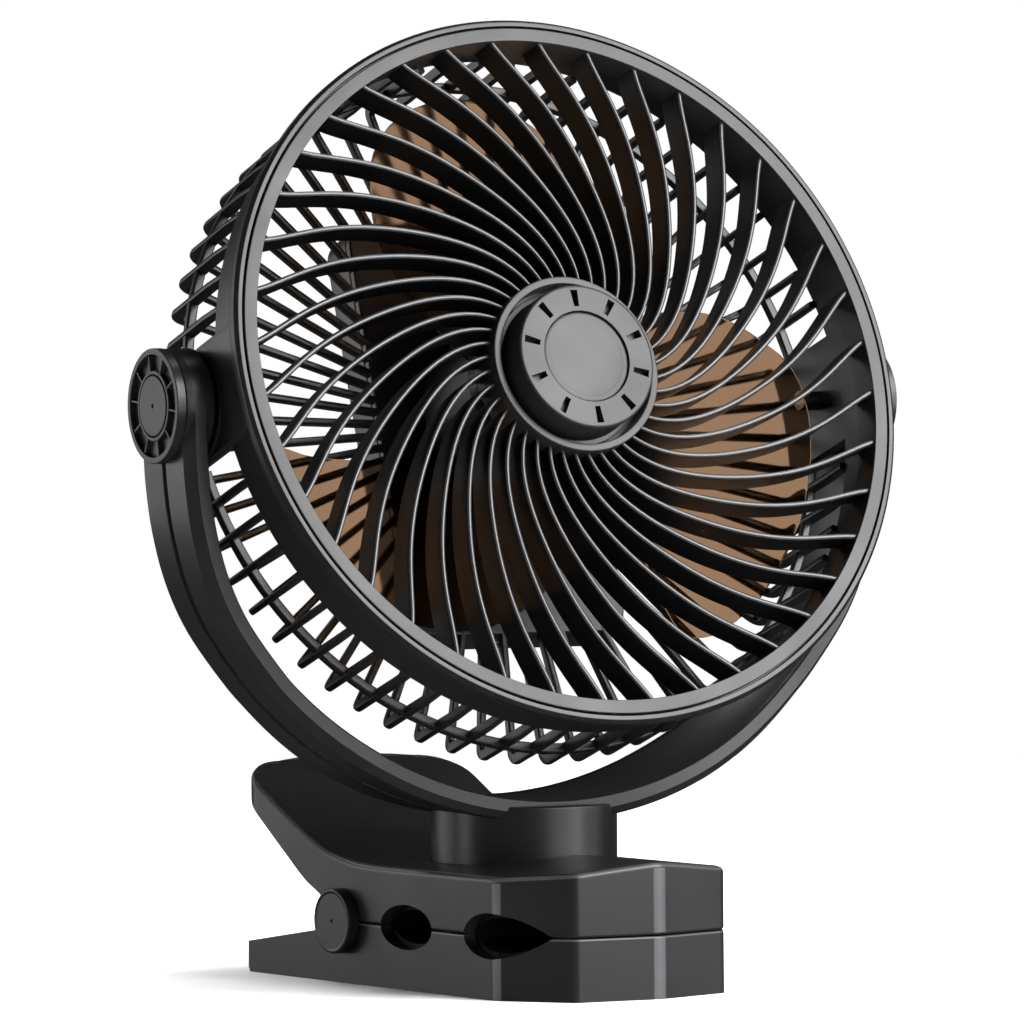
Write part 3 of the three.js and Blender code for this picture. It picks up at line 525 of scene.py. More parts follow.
def bar_lines():
    """Outer and inner edge of one bar in the (r, d) plane, station by station."""
    o, i = [], []
    for d in np.linspace(12.6, -16, 7):
        f = (12.6 - d) / 28.6
        o.append((GR - 0.7 + 0.7 * min(1, f * 3), d))
        i.append((GR - 0.7 - 3.2 + 0.5 * min(1, f * 3) - 0.3 * f, d))
    co, ci = (GR - 4.6, apex + 4.6), (GR - 4.6, apex + 4.6)
    for k in range(0, 9):
        t = rad(90 * k / 8)
        o.append((co[0] + 4.6 * math.cos(t), co[1] - 4.6 * math.sin(t)))
        i.append((ci[0] + 1.35 * math.cos(t) - 0.2, ci[1] - (4.6 - 2.9) * math.sin(t)))
    return o, i


HW, HH, HR = 37.0, 66.0, 8.0


def round_rect(w, h, r, n=8):
    out = []
    for cx, cy, a0 in ((w - r, h - r, 0), (r - w, h - r, 90), (r - w, r - h, 180), (w - r, r - h, 270)):
        for i in range(n + 1):
            t = rad(a0 + 90 * i / n)
            out.append((cx + r * math.cos(t), cy + r * math.sin(t)))
    return out


def soft_box(w, h, r, z0, z1, e0, e1, n=4):
    """Rounded slab whose rims are rounded by e0 at z0 and by e1 at z1."""
    low = []
    for k in range(n + 1):
        t = (math.pi / 2) * k / n
        ins = e0 * (1 - math.sin(t))
        low.append([(x, y, z0 + e0 * (1 - math.cos(t))) for x, y in round_rect(w - ins, h - ins, max(0.5, r - ins))])
    high = []
    for k in range(n + 1):
        t = (math.pi / 2) * k / n
        ins = e1 * (1 - math.cos(t))
        high.append([(x, y, z1 - e1 * (1 - math.sin(t))) for x, y in round_rect(w - ins, h - ins, max(0.5, r - ins))])
    return loft(low + high)


def bar_end(a):
    return min((HW - 1.5) / max(1e-6, abs(math.cos(a))), (HH - 1.5) / max(1e-6, abs(math.sin(a))), 70)


bo, bi = bar_lines()
bars = []
for k in range(NG):
    a = 2 * math.pi / NG * k + GT
    c, s = math.cos(a), math.sin(a)
    er, et = Vector((c, s, 0)), Vector((-s, c, 0))
    # the bars beside the arms stop short behind the ear
    y_off = GR * s
    loops = []
    r_in = bar_end(a)
    tail = [((97 + (r_in - 97) * q), apex) for q in (0, 0.25, 0.5, 0.75, 1.0)]
    for (ro, do), (ri, di) in zip(bo + tail, bi + [(r, d + 2.9) for r, d in tail]):
        if abs(y_off) < 17.9 and do > -23.0:
            continue
        po, pi_ = er * ro + Vector((0, 0, do)), er * ri + Vector((0, 0, di))
        ax = (po - pi_)
        L = ax.length
        ax.normalize()
        h, b_ = 1.08, 0.45
        sec = [(0.0, -h + b_), (b_, -h), (L - b_, -h), (L - 0.12, -h + b_ * 0.7), (L, 0), (L - 0.12, h - b_ * 0.7), (L - b_, h), (b_, h), (0.0, h - b_)]
        loops.append([pi_ + ax * u + et * v for u, v in sec])
    bars.append(loft(loops))
hoop = lathe(fillet([(104.3, -11.5, 0.6), (107.3, -11.5, 0.8), (107.3, -8.7, 0.8), (104.3, -8.7, 0.6)]), 186)
hoops = []
for a0, a1 in ((0.166, math.pi - 0.166), (math.pi + 0.166, 2 * math.pi - 0.166)):
    hoops.append(lathe(fillet([(104.3, -11.5, 0.6), (107.3, -11.5, 0.8), (107.3, -8.7, 0.8), (104.3, -8.7, 0.6)]), 90, arc=(a0, a1)))
plate = soft_box(HW, HH, HR, -25.3, -22.35, 0.5, 0.7)
piece("guard_fine", join(*bars, *hoops, plate), HEAD, "head", SHELL, ["rear_guard"], sharp=45)

# rear cover, knob, screws
cov = raw("rear_cover_fine", soft_box(HW, HH, HR, -40, -25.55, 2.6, 0.3), HEAD)
boolean(cov, raw("c", soft_box(HW - 2, HH - 2, HR - 2, -38, -20, 1.4, 0.3), HEAD))
CORNERS = ((29, 58), (-29, 58), (-29, -58), (29, -58))
for x, y in CORNERS:
    boolean(cov, raw("u", moved(lathe([(0, -39), (4.4, -39), (4.4, -25.6), (0, -25.6)], 40), Matrix.Translation((x, y, 0))), HEAD), "UNION")
    boolean(cov, raw("c", moved(lathe([(0, -60), (3.4, -60), (3.4, -37.6), (0, -37.6)], 40), Matrix.Translation((x, y, 0))), HEAD))
    boolean(cov, raw("c", moved(lathe([(0, -60), (1.8, -60), (1.8, 0), (0, 0)], 32), Matrix.Translation((x, y, 0))), HEAD))
boolean(cov, raw("c", lathe([(0, -60), (3.2, -60), (3.2, -30), (0, -30)], 40), HEAD))
boolean(cov, raw("c", prism([(-5.2, -76), (5.2, -76), (5.2, -60), (-5.2, -60)], -34.4, -28.6), HEAD))
# vent slots either side of the knob
for k in (-1, 1):
    for j in range(6):
        y = k * (24 + 4.4 * j)
        L = 16
        sl = fillet([(-L, y - 0.9, 0.85), (L, y - 0.9, 0.85), (L, y + 0.9, 0.85), (-L, y + 0.9, 0.85)], n=3)
        boolean(cov, raw("c", prism(sl, -60, -37.0), HEAD))
bevel(cov, 0.18, 2, 40)
done(cov, "head", SHELL, ["rear_cover"])


def pan_screw(name, x, y):
    prof = [(0, -39.6), (1.4, -39.6), (2.3, -39.35), (2.8, -38.9), (3.0, -38.4), (3.0, -37.95), (2.8, -37.9), (1.5, -37.9), (1.5, -25.9), (0, -25.9)]
    o = raw(name, moved(lathe(prof, 48), Matrix.Translation((x, y, 0))), HEAD)
    for q in (0, math.pi / 2):
        bx = moved(prism([(-1.7, -0.32), (1.7, -0.32), (1.7, 0.32), (-1.7, 0.32)], -41, -38.7), Matrix.Translation((x, y, 0)) @ Matrix.Rotation(q + 0.5, 4, "Z"))
        boolean(o, raw("c", bx, HEAD))
    return o


for k, (x, y) in enumerate(CORNERS):
    done(pan_screw(f"screw_fine_{k + 1}", x, y), "head", ZINC, [f"cover_screw_{k + 1}"])

knob = raw("knob_fine", lathe(fillet([(0, -44.4, 0), (8.6, -44.4, 0.4), (9.6, -43.9, 0.6), (10, -40.4, 0.3), (2.9, -40.4, 0.2), (2.9, -38, 0.1), (0, -38, 0)], closed=False), 96), HEAD)
grip = raw("g", prism(fillet([(-2.2, -8.9, 1.2), (2.2, -8.9, 1.2), (2.2, 8.9, 1.2), (-2.2, 8.9, 1.2)], n=4), -48, -43.5), HEAD)
boolean(knob, grip, "UNION")
flutes = []
for k in range(24):
    a = 2 * math.pi * k / 24
    flutes.append(moved(lathe([(0, -43.2), (0.55, -43.2), (0.55, -40), (0, -40)], 10), Matrix.Translation((10.15 * math.cos(a), 10.15 * math.sin(a), 0))))
boolean(knob, raw("c", join(*flutes), HEAD))
mark = raw("c", prism([(-0.35, 3.5), (0.35, 3.5), (0.35, 8.0), (-0.35, 8.0)], -49, -47.7), HEAD)
boolean(knob, mark)
bevel(knob, 0.3, 2, 40)
done(knob, "knob", BLACK, ["speed_knob"])

# unseen inside pieces
board = raw("board_fine", prism(fillet([(-19, -56.5, 1.5), (19, -56.5, 1.5), (19, 19, 1.5), (-19, 19, 1.5)]), -31.4, -29.8), HEAD)
boolean(board, raw("c", lathe([(0, -33), (4, -33), (4, -28), (0, -28)], 32), HEAD))
done(board, "head", BOARD, ["control_board"])
sock = raw("socket_fine", prism([(-4.8, -65.4), (4.8, -65.4), (4.8, -57), (-4.8, -57)], -34, -29), HEAD)
boolean(sock, raw("c", prism([(-3.8, -76), (3.8, -76), (3.8, -59), (-3.8, -59)], -33, -30), HEAD))
bevel(sock, 0.25, 2)
done(sock, "head", ZINC, ["dc_socket"])
piece("switch_fine", lathe(fillet([(0, -37.6, 0), (8.5, -37.6, 0.4), (8.5, -31.7, 0.4), (0, -31.7, 0)], closed=False), 64), HEAD, "head", SWITCH, ["speed_switch"])
can = lathe(fillet([(3.1, -22.1, 0.2), (21.5, -22.1, 0.6), (21.5, -9.0, 0.2), (21.2, -8.6, 0.2), (21.5, -8.2, 0.2), (21.5, 10.5, 1.5), (19.5, 12.5, 1.0), (8, 12.5, 0.3), (8, 14.5, 0.4), (3.1, 14.5, 0.2)]), 96)
piece("motor_fine", can, HEAD, "head", MOTOR, ["motor_can"])
piece("shaft_fine", lathe(fillet([(0, -21.5, 0), (2.5, -21.5, 0.3), (2.5, 24.5, 0.4), (0, 24.5, 0)], closed=False), 48), HEAD, "rotor", STEEL, ["motor_shaft"])
nut = raw("nut_fine", prism([(5.2 * math.cos(math.pi * i / 3), 5.2 * math.sin(math.pi * i / 3)) for i in range(6)], 19.9, 24.2), HEAD)
boolean(nut, raw("c", lathe([(0, 10), (2.7, 10), (2.7, 30), (0, 30)], 40), HEAD))
bevel(nut, 0.35, 2)
done(nut, "rotor", ZINC, ["shaft_nut"])

# ---------------------------------------------------------------- rotor
lead_tab = [[25, 43], [32, 38], [38, 33], [48.5, 27.8], [57, 23.5], [66, 18.8], [72, 14.6], [79, 9], [84, 5.2], [88, 0.8], [92, -6.5], [95, -16], [97, -27]]
trail_tab = [[25, -36], [46.8, -43.2], [56, -46.5], [63, -48.6], [70, -50.6], [75, -53], [81.5, -54.3], [88, -54.5], [93, -51], [96, -45], [97, -37]]
lead_full = [[25, 43], [38, 33], [57, 23.5], [72, 14.6], [84, 5.2], [97, -5]]
trail_full = [[25, -36], [46.8, -43.2], [63, -48.6], [75, -53], [97, -58]]


def tab(t, x):
    t = np.array(t, float)
    return float(np.interp(x, t[:, 0], t[:, 1]))


def smooth_tab(t, x, w=2.5):
    return sum(tab(t, x + w * k / 3) for k in range(-3, 4)) / 7


blades = []
NS, NC = 34, 30
for b in range(3):
    top_, bot_ = [], []
    for i in range(NS + 1):
        u = i / NS
        r = 24.9 + (96.9 - 24.9) * (1 - (1 - u) ** 1.35)
        ld, tr = smooth_tab(lead_tab, r, 1.2), smooth_tab(trail_tab, r, 1.2)
        l0, t0 = smooth_tab(lead_full, r, 4), smooth_tab(trail_full, r, 4)
        rt, rb = [], []
        for j in range(NC + 1):
            v = 0.5 - 0.5 * math.cos(math.pi * j / NC)
            deg = ld + (tr - ld) * v
            w = (l0 - deg) / (l0 - t0)
            a = rad(deg + 120 * b)
            amp = tab([[25, 27], [60, 32], [97, 32]], r)
            mid = amp * (0.5 - w) + 2.6 - 1.5 * math.sin(math.pi * min(1, max(0, w)))
            e = max(0.0, 4 * v * (1 - v))
            th = 0.20 + 0.62 * e ** 0.6
            if u > 0.96:
                th *= math.sqrt(max(0.02, 1 - ((u - 0.96) / 0.04) ** 2 * 0.9))
            rt.append((r * math.cos(a), r * math.sin(a), mid + th))
            rb.append((r * math.cos(a), r * math.sin(a), mid - th))
        top_.append(rt)
        bot_.append(rb)
    loops = []
    for i in range(NS + 1):
        loops.append([Vector(p) for p in top_[i]] + [Vector(p) for p in reversed(bot_[i])])
    blades.append(loft(loops))
hub_prof = fillet([(2.8, 15.2, 0.2), (6.5, 15.2, 0.2), (6.5, 17.2, 0.3), (22.8, 17.2, 0.8), (23.4, 14, 0.6), (23.4, -13.9, 0.3), (26, -13.9, 0.4), (26, 16, 2.0), (24.4, 19.6, 2.0), (2.8, 19.6, 0.3)], n=5)
piece("rotor_blades", join(*blades), HEAD, "rotor", SMOKED, ["fan_rotor"], sharp=60)
piece("rotor_hub", lathe(hub_prof, 128), HEAD, "rotor", SHELL)

# ---------------------------------------------------------------- yoke
pts = [(-120.3, 0), (-120.2, -12), (-119.5, -24), (-117.4, -38), (-113.2, -52.9), (-106.2, -67.2)]
for a in np.arange(221, 270, 5.0):
    pts.append((125.6 * math.cos(rad(a)), 125.6 * math.sin(rad(a))))
half = np.array(pts, float)


def spline(P, n):
    """Catmull-Rom through the points, n steps in each span."""
    out = []
    for i in range(len(P) - 1):
        p0 = P[i - 1] if i else 2 * P[0] - P[1]
        p1, p2 = P[i], P[i + 1]
        p3 = P[i + 2] if i + 2 < len(P) else 2 * P[-1] - P[-2]
        for k in range(n):
            t = k / n
            out.append(0.5 * (2 * p1 + (p2 - p0) * t + (2 * p0 - 5 * p1 + 4 * p2 - p3) * t * t + (3 * p1 - p0 - 3 * p2 + p3) * t ** 3))
    out.append(P[-1])
    return np.array(out)


full = np.vstack([half, [[0, -125.6]], half[::-1] * [-1, 1]])
path = spline(full, 6)
loops = []
T_Y = 6.6
for i, p in enumerate(path):
    a, b = path[max(0, i - 1)], path[min(len(path) - 1, i + 1)]
    d = (b - a) / np.linalg.norm(b - a)
    nrm = np.array([-d[1], d[0]])
    z = p[1]
    low = np.clip((-z - 85) / 39, 0, 1)
    low = low * low * (3 - 2 * low)
    w = 17 + 5 * low
    bv = 3.2 * (1 - low * 0.6)                   # bevel between outer face and side face
    g = 1.3
    ch = 2.3
    sec = [(2.6 * 1.0, -w), (0.35, -w + bv), (0.0, -w + bv + 0.6), (0.0, -1.5), (0.15, -1.2), (g, -1.0), (g, 1.0), (0.15, 1.2), (0.0, 1.5), (0.0, w - bv - 0.6), (0.35, w - bv), (2.6, w),
           (T_Y - 0.5, w), (T_Y, w - 0.5), (T_Y, w - 1.5), (T_Y - 0.4, w - 2.0)]
    for f in np.linspace(-1, 1, 11)[::-1]:
        sec.append((T_Y - ch + (ch - 0.5) * f * f, f * (w - 2.4)))
    sec += [(T_Y - 0.4, -w + 2.0), (T_Y, -w + 1.5), (T_Y, -w + 0.5), (T_Y - 0.5, -w)]
    loops.append([Vector((p[0] + nrm[0] * u_, v_, p[1] + nrm[1] * u_)) for u_, v_ in sec])
yoke_parts = [loft(loops)]
for k in (-1, 1):
    eye = lathe(fillet([(3.4, 111.3, 0.2), (17.0, 111.3, 0.6), (17.0, 117.9, 0.3), (16.6, 120.3, 0.5), (6.6, 120.3, 0.3), (6.6, 117.4, 0.2), (3.4, 117.4, 0.2)]), 96)
    eye = moved(eye, TO_X)
    if k < 0:
        eye = moved(eye, Matrix.Rotation(math.pi, 4, "Z"))
    yoke_parts.append(eye)
zt = -AXIS_Z
turret = lathe(fillet([(3.4, 37.45 + zt, 0.2), (28.2, 37.45 + zt, 0.3), (28.2, 55.1 + zt, 0.9), (24.6, 55.1 + zt, 0.5), (24.2, 53.4 + zt, 0.5), (9, 53.4 + zt, 0.4), (9, 49.6 + zt, 0.2), (3.4, 49.6 + zt, 0.2)]), 144)
yoke_parts.append(turret)
yk = raw("yoke_fine", yoke_parts[0], YOKE)
for q in yoke_parts[1:]:
    boolean(yk, raw("u", q, YOKE), "UNION")
boolean(yk, raw("c", lathe([(0, 49.7 + zt), (9, 49.7 + zt), (9, 80 + zt), (0, 80 + zt)], 64), YOKE))
boolean(yk, raw("c", lathe([(0, 30 + zt), (3.4, 30 + zt), (3.4, 80 + zt), (0, 80 + zt)], 48), YOKE))
for k in (-1, 1):
    c1 = moved(lathe([(0, 100), (3.4, 100), (3.4, 130), (0, 130)], 48), TO_X)
    c2 = moved(lathe([(0, 117.4), (6.6, 117.4), (6.6, 130), (0, 130)], 48), TO_X)
    for c_ in (c1, c2):
        if k < 0:
            c_ = moved(c_, Matrix.Rotation(math.pi, 4, "Z"))
        boolean(yk, raw("c", c_, YOKE))
done(yk, "fork", BLACK, ["yoke"], sharp=28)

piece("swivel_bolt_fine", lathe(fillet([(0, 31.4 + zt, 0), (3.0, 31.4 + zt, 0.3), (3.0, 51.2 + zt, 0.2), (6.5, 51.2 + zt, 0.2), (6.5, 53.4 + zt, 0.9), (2.2, 54.1 + zt, 0.3), (2.0, 52.4 + zt, 0.1), (0, 52.4 + zt, 0)], closed=False), 64), YOKE, "top_jaw", ZINC, ["swivel_bolt"])
piece("swivel_washer_fine", lathe(fillet([(3.4, 49.8 + zt, 0.2), (8.2, 49.8 + zt, 0.2), (8.2, 50.9 + zt, 0.2), (3.4, 50.9 + zt, 0.2)]), 64), YOKE, "fork", ZINC, ["swivel_washer"])

for side, k in (("left", -1), ("right", 1)):
    flip = Matrix.Rotation(math.pi, 4, "Z") if k < 0 else ONE
    prof = fillet([(0, 120.6, 0), (17, 120.6, 0.2), (17, 123.5, 0.45), (15.1, 123.5, 0.3), (15.1, 121.7, 0.1), (10.4, 121.7, 0.1), (10.4, 123.3, 0.3), (9.3, 123.3, 0.25), (9.3, 122.0, 0.1), (0, 122.0, 0)], closed=False)
    bits = [moved(lathe(prof, 144), flip @ TO_X)]
    for i in range(10):
        a = rad(36 * i + 84)
        sp = [[(x, y * 0.38, z) for y, z in ((-1, 121.5), (1, 121.5), (1, 122.9), (0.6, 123.15), (-0.6, 123.15), (-1, 122.9))] for x in (10.2, 15.3)]
        bits.append(moved(loft(sp), flip @ TO_X @ Matrix.Rotation(a, 4, "Z")))
    piece(f"arm_cap_fine_{side}", join(*bits), YOKE, "fork", BLACK, [f"arm_cap_{side}"])
    dprof = [(0, 122.3), (8.9, 122.3), (8.95, 123.2), (8.8, 123.42), (8.5, 123.5), (0.75, 123.5), (0.62, 123.4), (0.6, 123.0), (0, 123.0)]
    piece(f"arm_disc_fine_{side}", lathe(dprof, 96), YOKE @ flip @ TO_X, "fork", BLACK, [f"arm_disc_{side}"], sharp=40)
    piece(f"tilt_bolt_fine_{side}", lathe(fillet([(0, 98, 0), (3.0, 98, 0.3), (3.0, 117.6, 0.2), (6.2, 117.6, 0.2), (6.2, 120.2, 0.5), (0, 120.2, 0)], closed=False), 48), YOKE @ flip @ TO_X, "fork", ZINC, [f"tilt_bolt_{side}"])
    piece(f"tilt_washer_fine_{side}", lathe(fillet([(3.4, 109.8, 0.3), (12, 109.8, 0.3), (12, 111.0, 0.3), (3.4, 111.0, 0.3)]), 64), YOKE @ flip @ TO_X, "fork", PAD, [f"tilt_washer_{side}"])

# ---------------------------------------------------------------- clamp
HALF_W, PZ = 41.2, 18.85
NOSE = [(0, -70.4), (26.9, -65.2), (41.2, -44.1)]


def nose(inset=0.0):
    k = 1 - inset / HALF_W
    return [(x * k, y + inset * 1.05) for x, y in NOSE]


def plan(side_pts, inset=0.0):
    a, b, c = nose(inset)
    rt = [b, c] + side_pts
    return [a] + rt + [(-x, y) for x, y in reversed(rt)]


def oval(a, b, n=64, cy=3.0):
    return [(cy + a * math.cos(2 * math.pi * i / n), PZ + b * math.sin(2 * math.pi * i / n)) for i in range(n)]


def pointed(grow=0.0):
    y, a, b, tip = -41.6, 13.7, 6.8, -59.4
    o = []
    for i in range(-14, 15):
        t = (math.pi / 2) * i / 14
        o.append((y + (a + grow) * math.cos(t), PZ + (b + grow) * math.sin(t)))
    L = y - tip + grow
    for i in range(1, 16):
        s = i / 16
        o.append((y - L * s, PZ + (b + grow) * (1 - s ** 1.9)))
    o.append((y - L, PZ))
    for i in range(15, 0, -1):
        s = i / 16
        o.append((y - L * s, PZ - (b + grow) * (1 - s ** 1.9)))
    return o


def cut_holes(o):
    boolean(o, raw("c", along_x(oval(13.85, 6.75), -60, 60)))
    boolean(o, raw("c", along_x(pointed(), -60, 60)))


def dense(poly, step=1.2):
    out = []
    for i, p in enumerate(poly):
        q = poly[(i + 1) % len(poly)]
        L = math.dist(p, q)
        n = max(1, int(L / step))
        out += [(p[0] + (q[0] - p[0]) * k / n, p[1] + (q[1] - p[1]) * k / n) for k in range(n)]
    return out


def edge_tool(poly, surf, c=1.2, steps=4, flip=None):
    """A solid that keeps what is inside the outline, with the rim under z = surf(x, y) rounded over."""
    P = np.array(dense(poly))
    nxt, prv = np.roll(P, -1, 0), np.roll(P, 1, 0)
    d = nxt - prv
    d /= np.linalg.norm(d, axis=1)[:, None]
    area2 = float(np.sum(P[:, 0] * nxt[:, 1] - nxt[:, 0] * P[:, 1]))
    nrm = np.stack([-d[:, 1], d[:, 0]], 1) * (1 if area2 > 0 else -1)
    rings = [[(x, y, -80.0) for x, y in P]]
    for k in range(steps + 1):
        t = (math.pi / 2) * k / steps
        ins, drop = c * (1 - math.cos(t)), c * (1 - math.sin(t))
        Q = P + nrm * ins
        rings.append([(x, y, surf(x0, y0) - drop + 0.003) for (x, y), (x0, y0) in zip(Q, P)])
    Q = P + nrm * c
    rings.append([(x, y, 130.0) for x, y in Q])
    if flip is not None:
        rings = [[(x, y, flip - z) for x, y, z in r][::-1] for r in rings]
    return loft(rings)


# lower jaw
side = fillet([(-75, 0, 0), (TAIL := 90.9, 0, 0.3), (90.9, 1.1, 0.2), (92.4, 1.3, 0.2), (92.4, 9.4, 0.5), (53.5, 15.1, 6), (38.2, PZ - 0.15, 0.6), (-75, PZ - 0.15, 0)], n=4)
lj = raw("lower_jaw_fine", along_x(side, -HALF_W, HALF_W))
def nose_round(p):
    if p[1] > -40:
        return 0.0
    return 11.0 if abs(p[0]) < 1 else (4.0 if abs(p[0]) < 30 else 6.5)


low_plan = fillet([(p[0], p[1], nose_round(p) or 1.5) for p in plan([(41.2, 92.4)])], n=6)
boolean(lj, raw("c", edge_tool(low_plan, lambda x, y: PZ - 0.15 if y < 38.2 else 60.0, 0.7, 3)), "INTERSECT")
cut_holes(lj)
boolean(lj, raw("c", prism([(-29, 27), (29, 27), (29, 52), (-29, 52)], 5, 60)))
# well for the pad, and the deeper seats of its two ridges
well = plan([(HALF_W - 4, 22)], 4.0)
boolean(lj, raw("c", prism(well, 16, 40)))
boolean(lj, raw("c", along_x(oval(15.45, 8.35), -(HALF_W - 4), HALF_W - 4)))


def seat_of_point():
    o = raw("c", along_x(pointed(1.6), -(HALF_W - 4), HALF_W - 4))
    boolean(o, raw("c", prism(well, 0, 60)), "INTERSECT")
    return o


boolean(lj, seat_of_point())


def lug(x0, x1, z_end):
    s = 1 if z_end > 18.9 else -1
    o = [(38.1 + 7.2 * math.cos(math.pi * i / 20), 18.9 - s * 7.2 * math.sin(math.pi * i / 20)) for i in range(21)]
    o += [(38.1 - 7.2, z_end), (38.1 + 7.2, z_end)]
    return along_x(o, x0, x1)


for k in (-1, 1):
    boolean(lj, raw("u", lug(30 if k > 0 else -34.5, 34.5 if k > 0 else -30, 12)), "UNION")
bore = lambda: raw("c", moved(lathe([(0, -50), (3.3, -50), (3.3, 50), (0, 50)], 48), Matrix.Translation((0, 38.1, 18.9)) @ TO_X))
boolean(lj, bore())
done(lj, "base", BLACK, ["lower_jaw"], sharp=40)

# upper jaw
top_t = spline(np.array([[-80, 36.2], [-30, 36.2], [12, 36.2], [26, 36.5], [34, 37.2], [40.3, 38.2], [47, 39.7], [53.7, 42.0], [62, 45.8], [72, 50.8], [86, 58.1], [98, 64.4], [112, 71.7]]), 5)
low_t = spline(np.array([[-80, PZ + 0.15], [20, PZ + 0.15], [38.2, PZ + 0.16], [40.0, PZ + 0.85], [43.5, 21.0], [50, 26.0], [59, 30.4], [70, 37.9], [82, 46.3], [91.3, 53.0], [99, 59.2], [112, 69.5]]), 5)
ys = np.concatenate([[-75, -40, 0], np.linspace(14, 104, 64)])
us = np.linspace(-1, 1, 25)
loops = []
for y in ys:
    t = min(1, max(0, (y - 20) / 44))
    t = t * t * (3 - 2 * t)
    P = float(np.interp(y, top_t[:, 0], top_t[:, 1]))
    B = float(np.interp(y, low_t[:, 0], low_t[:, 1]))
    sec = []
    for u_ in us[::-1]:
        x = u_ * (HALF_W + 2)
        sec.append((x, y, P + (40.7 - 0.11 * math.sqrt(x * x + 9) - 36.2) * (1 - t)))
    sec += [(-(HALF_W + 2), y, B), (HALF_W + 2, y, B)]
    loops.append(sec)
NOSE_W = [Vector((x, y)) for x, y in ((0, -70.4), (41.2, -44.1), (-41.2, -44.1))]


# picks the rounded nose corners and top rims that get the painted highlight
def jaw_highlight_faces(outline, zlow, zhigh):
    P = [Vector(p) for p in outline]

    def near(c):
        q = Vector((c.x, c.y))
        best = 1e9
        for i, a in enumerate(P):
            b_ = P[(i + 1) % len(P)]
            ab = b_ - a
            t_ = max(0.0, min(1.0, (q - a).dot(ab) / max(1e-9, ab.length_squared)))
            best = min(best, (q - (a + ab * t_)).length)
        return best

    def pick(c, n):
        if abs(n.z) < 0.12:
            q = Vector((c.x, c.y))
            if min((q - w_).length for w_ in NOSE_W) > 2.0:
                return False
            k_ = abs(n.x)
            flat = (abs(k_ - 1) < 0.004, abs(k_ - math.sin(rad(10.94))) < 0.012, abs(k_ - math.sin(rad(55.87))) < 0.008)
            return not any(flat)
        if c.y < 38 and abs(n.z) < 0.95 and zlow < c.z < zhigh and near(c) < 0.75:
            return True
        return c.y > -80 and 0.2 < n.z < 0.985 and c.z > 33 and near(c) < 1.35
    return pick


uj = raw("upper_jaw_fine", loft(loops))
corner = []
for i in range(0, 17):
    t = (math.pi / 2) * i / 16
    corner.append((HALF_W - 16 + 16 * math.cos(t), 86 + 13 * math.sin(t)))
corner += [(18, 100.2), (9, 100.95)]
pl = plan(corner)
pl = fillet([(p[0], p[1], nose_round(p)) for p in pl], n=6)


def roof(x, y):
    t = min(1, max(0, (y - 20) / 44))
    t = t * t * (3 - 2 * t)
    return float(np.interp(y, top_t[:, 0], top_t[:, 1])) + (40.7 - 0.11 * math.sqrt(x * x + 9) - 36.2) * (1 - t)


boolean(uj, raw("c", edge_tool(pl, roof, 1.7, 5)), "INTERSECT")
boolean(uj, raw("c", edge_tool(pl, lambda x, y: PZ - 0.15 if y < 38.1 else 60.0, 0.7, 3, flip=2 * PZ)), "INTERSECT")
cut_holes(uj)
boolean(uj, raw("c", prism([(-35.2, 26.5), (35.2, 26.5), (35.2, 50), (-35.2, 50)], 0, 30)))
boolean(uj, raw("c", prism(well, 0, 21.7)))
boolean(uj, raw("c", along_x(oval(15.45, 8.35), -(HALF_W - 4), HALF_W - 4)))
boolean(uj, seat_of_point())
boolean(uj, raw("c", lathe([(0, 37.05), (28.5, 37.05), (28.5, 60), (0, 60)], 144)))
boolean(uj, raw("c", lathe([(0, 31), (3.3, 31), (3.3, 60), (0, 60)], 48)))
for k in (-1, 1):
    boolean(uj, raw("u", lug(24.5 if k > 0 else -28.6, 28.6 if k > 0 else -24.5, 32)), "UNION")
boolean(uj, bore())
done(uj, "top_jaw", BLACK, ["upper_jaw"], sharp=40)
# the picked rounded edges of both jaws take the painted highlight material
second_material(uj, JAW_PAINTED_HIGHLIGHT, jaw_highlight_faces(pl, 99, 99))
second_material(lj, JAW_PAINTED_HIGHLIGHT, jaw_highlight_faces(low_plan, PZ - 1.2, PZ))


# rubber pads
def pad(name, lower):
    w = HALF_W - 4.3
    inner = plan([(HALF_W - 4.3, 21.7)], 4.3)
    z0, z1 = (16.3, PZ - 0.15) if lower else (PZ + 0.15, 21.4)
    o = raw(name, prism(inner, z0, z1))
    boolean(o, raw("u", along_x(oval(15.15, 8.05), -w, w)), "UNION")
    e = raw("u", along_x(pointed(1.3), -w, w))
    boolean(e, raw("c", prism(inner, 0, 60)), "INTERSECT")
    boolean(o, e, "UNION")
    boolean(o, raw("c", along_x(oval(12.25, 5.15), -60, 60)))
    boolean(o, raw("c", along_x(pointed(-1.6), -60, 60)))
    zz = (PZ - 0.15, 60) if lower else (0, PZ + 0.15)
    boolean(o, raw("c", prism([(-60, -90), (60, -90), (60, 60), (-60, 60)], *zz)))
    bevel(o, 0.3, 2, 30)
    return o


done(pad("lower_pad_fine", True), "base", PAD, ["lower_pad"])
done(pad("upper_pad_fine", False), "top_jaw", PAD, ["upper_pad"])

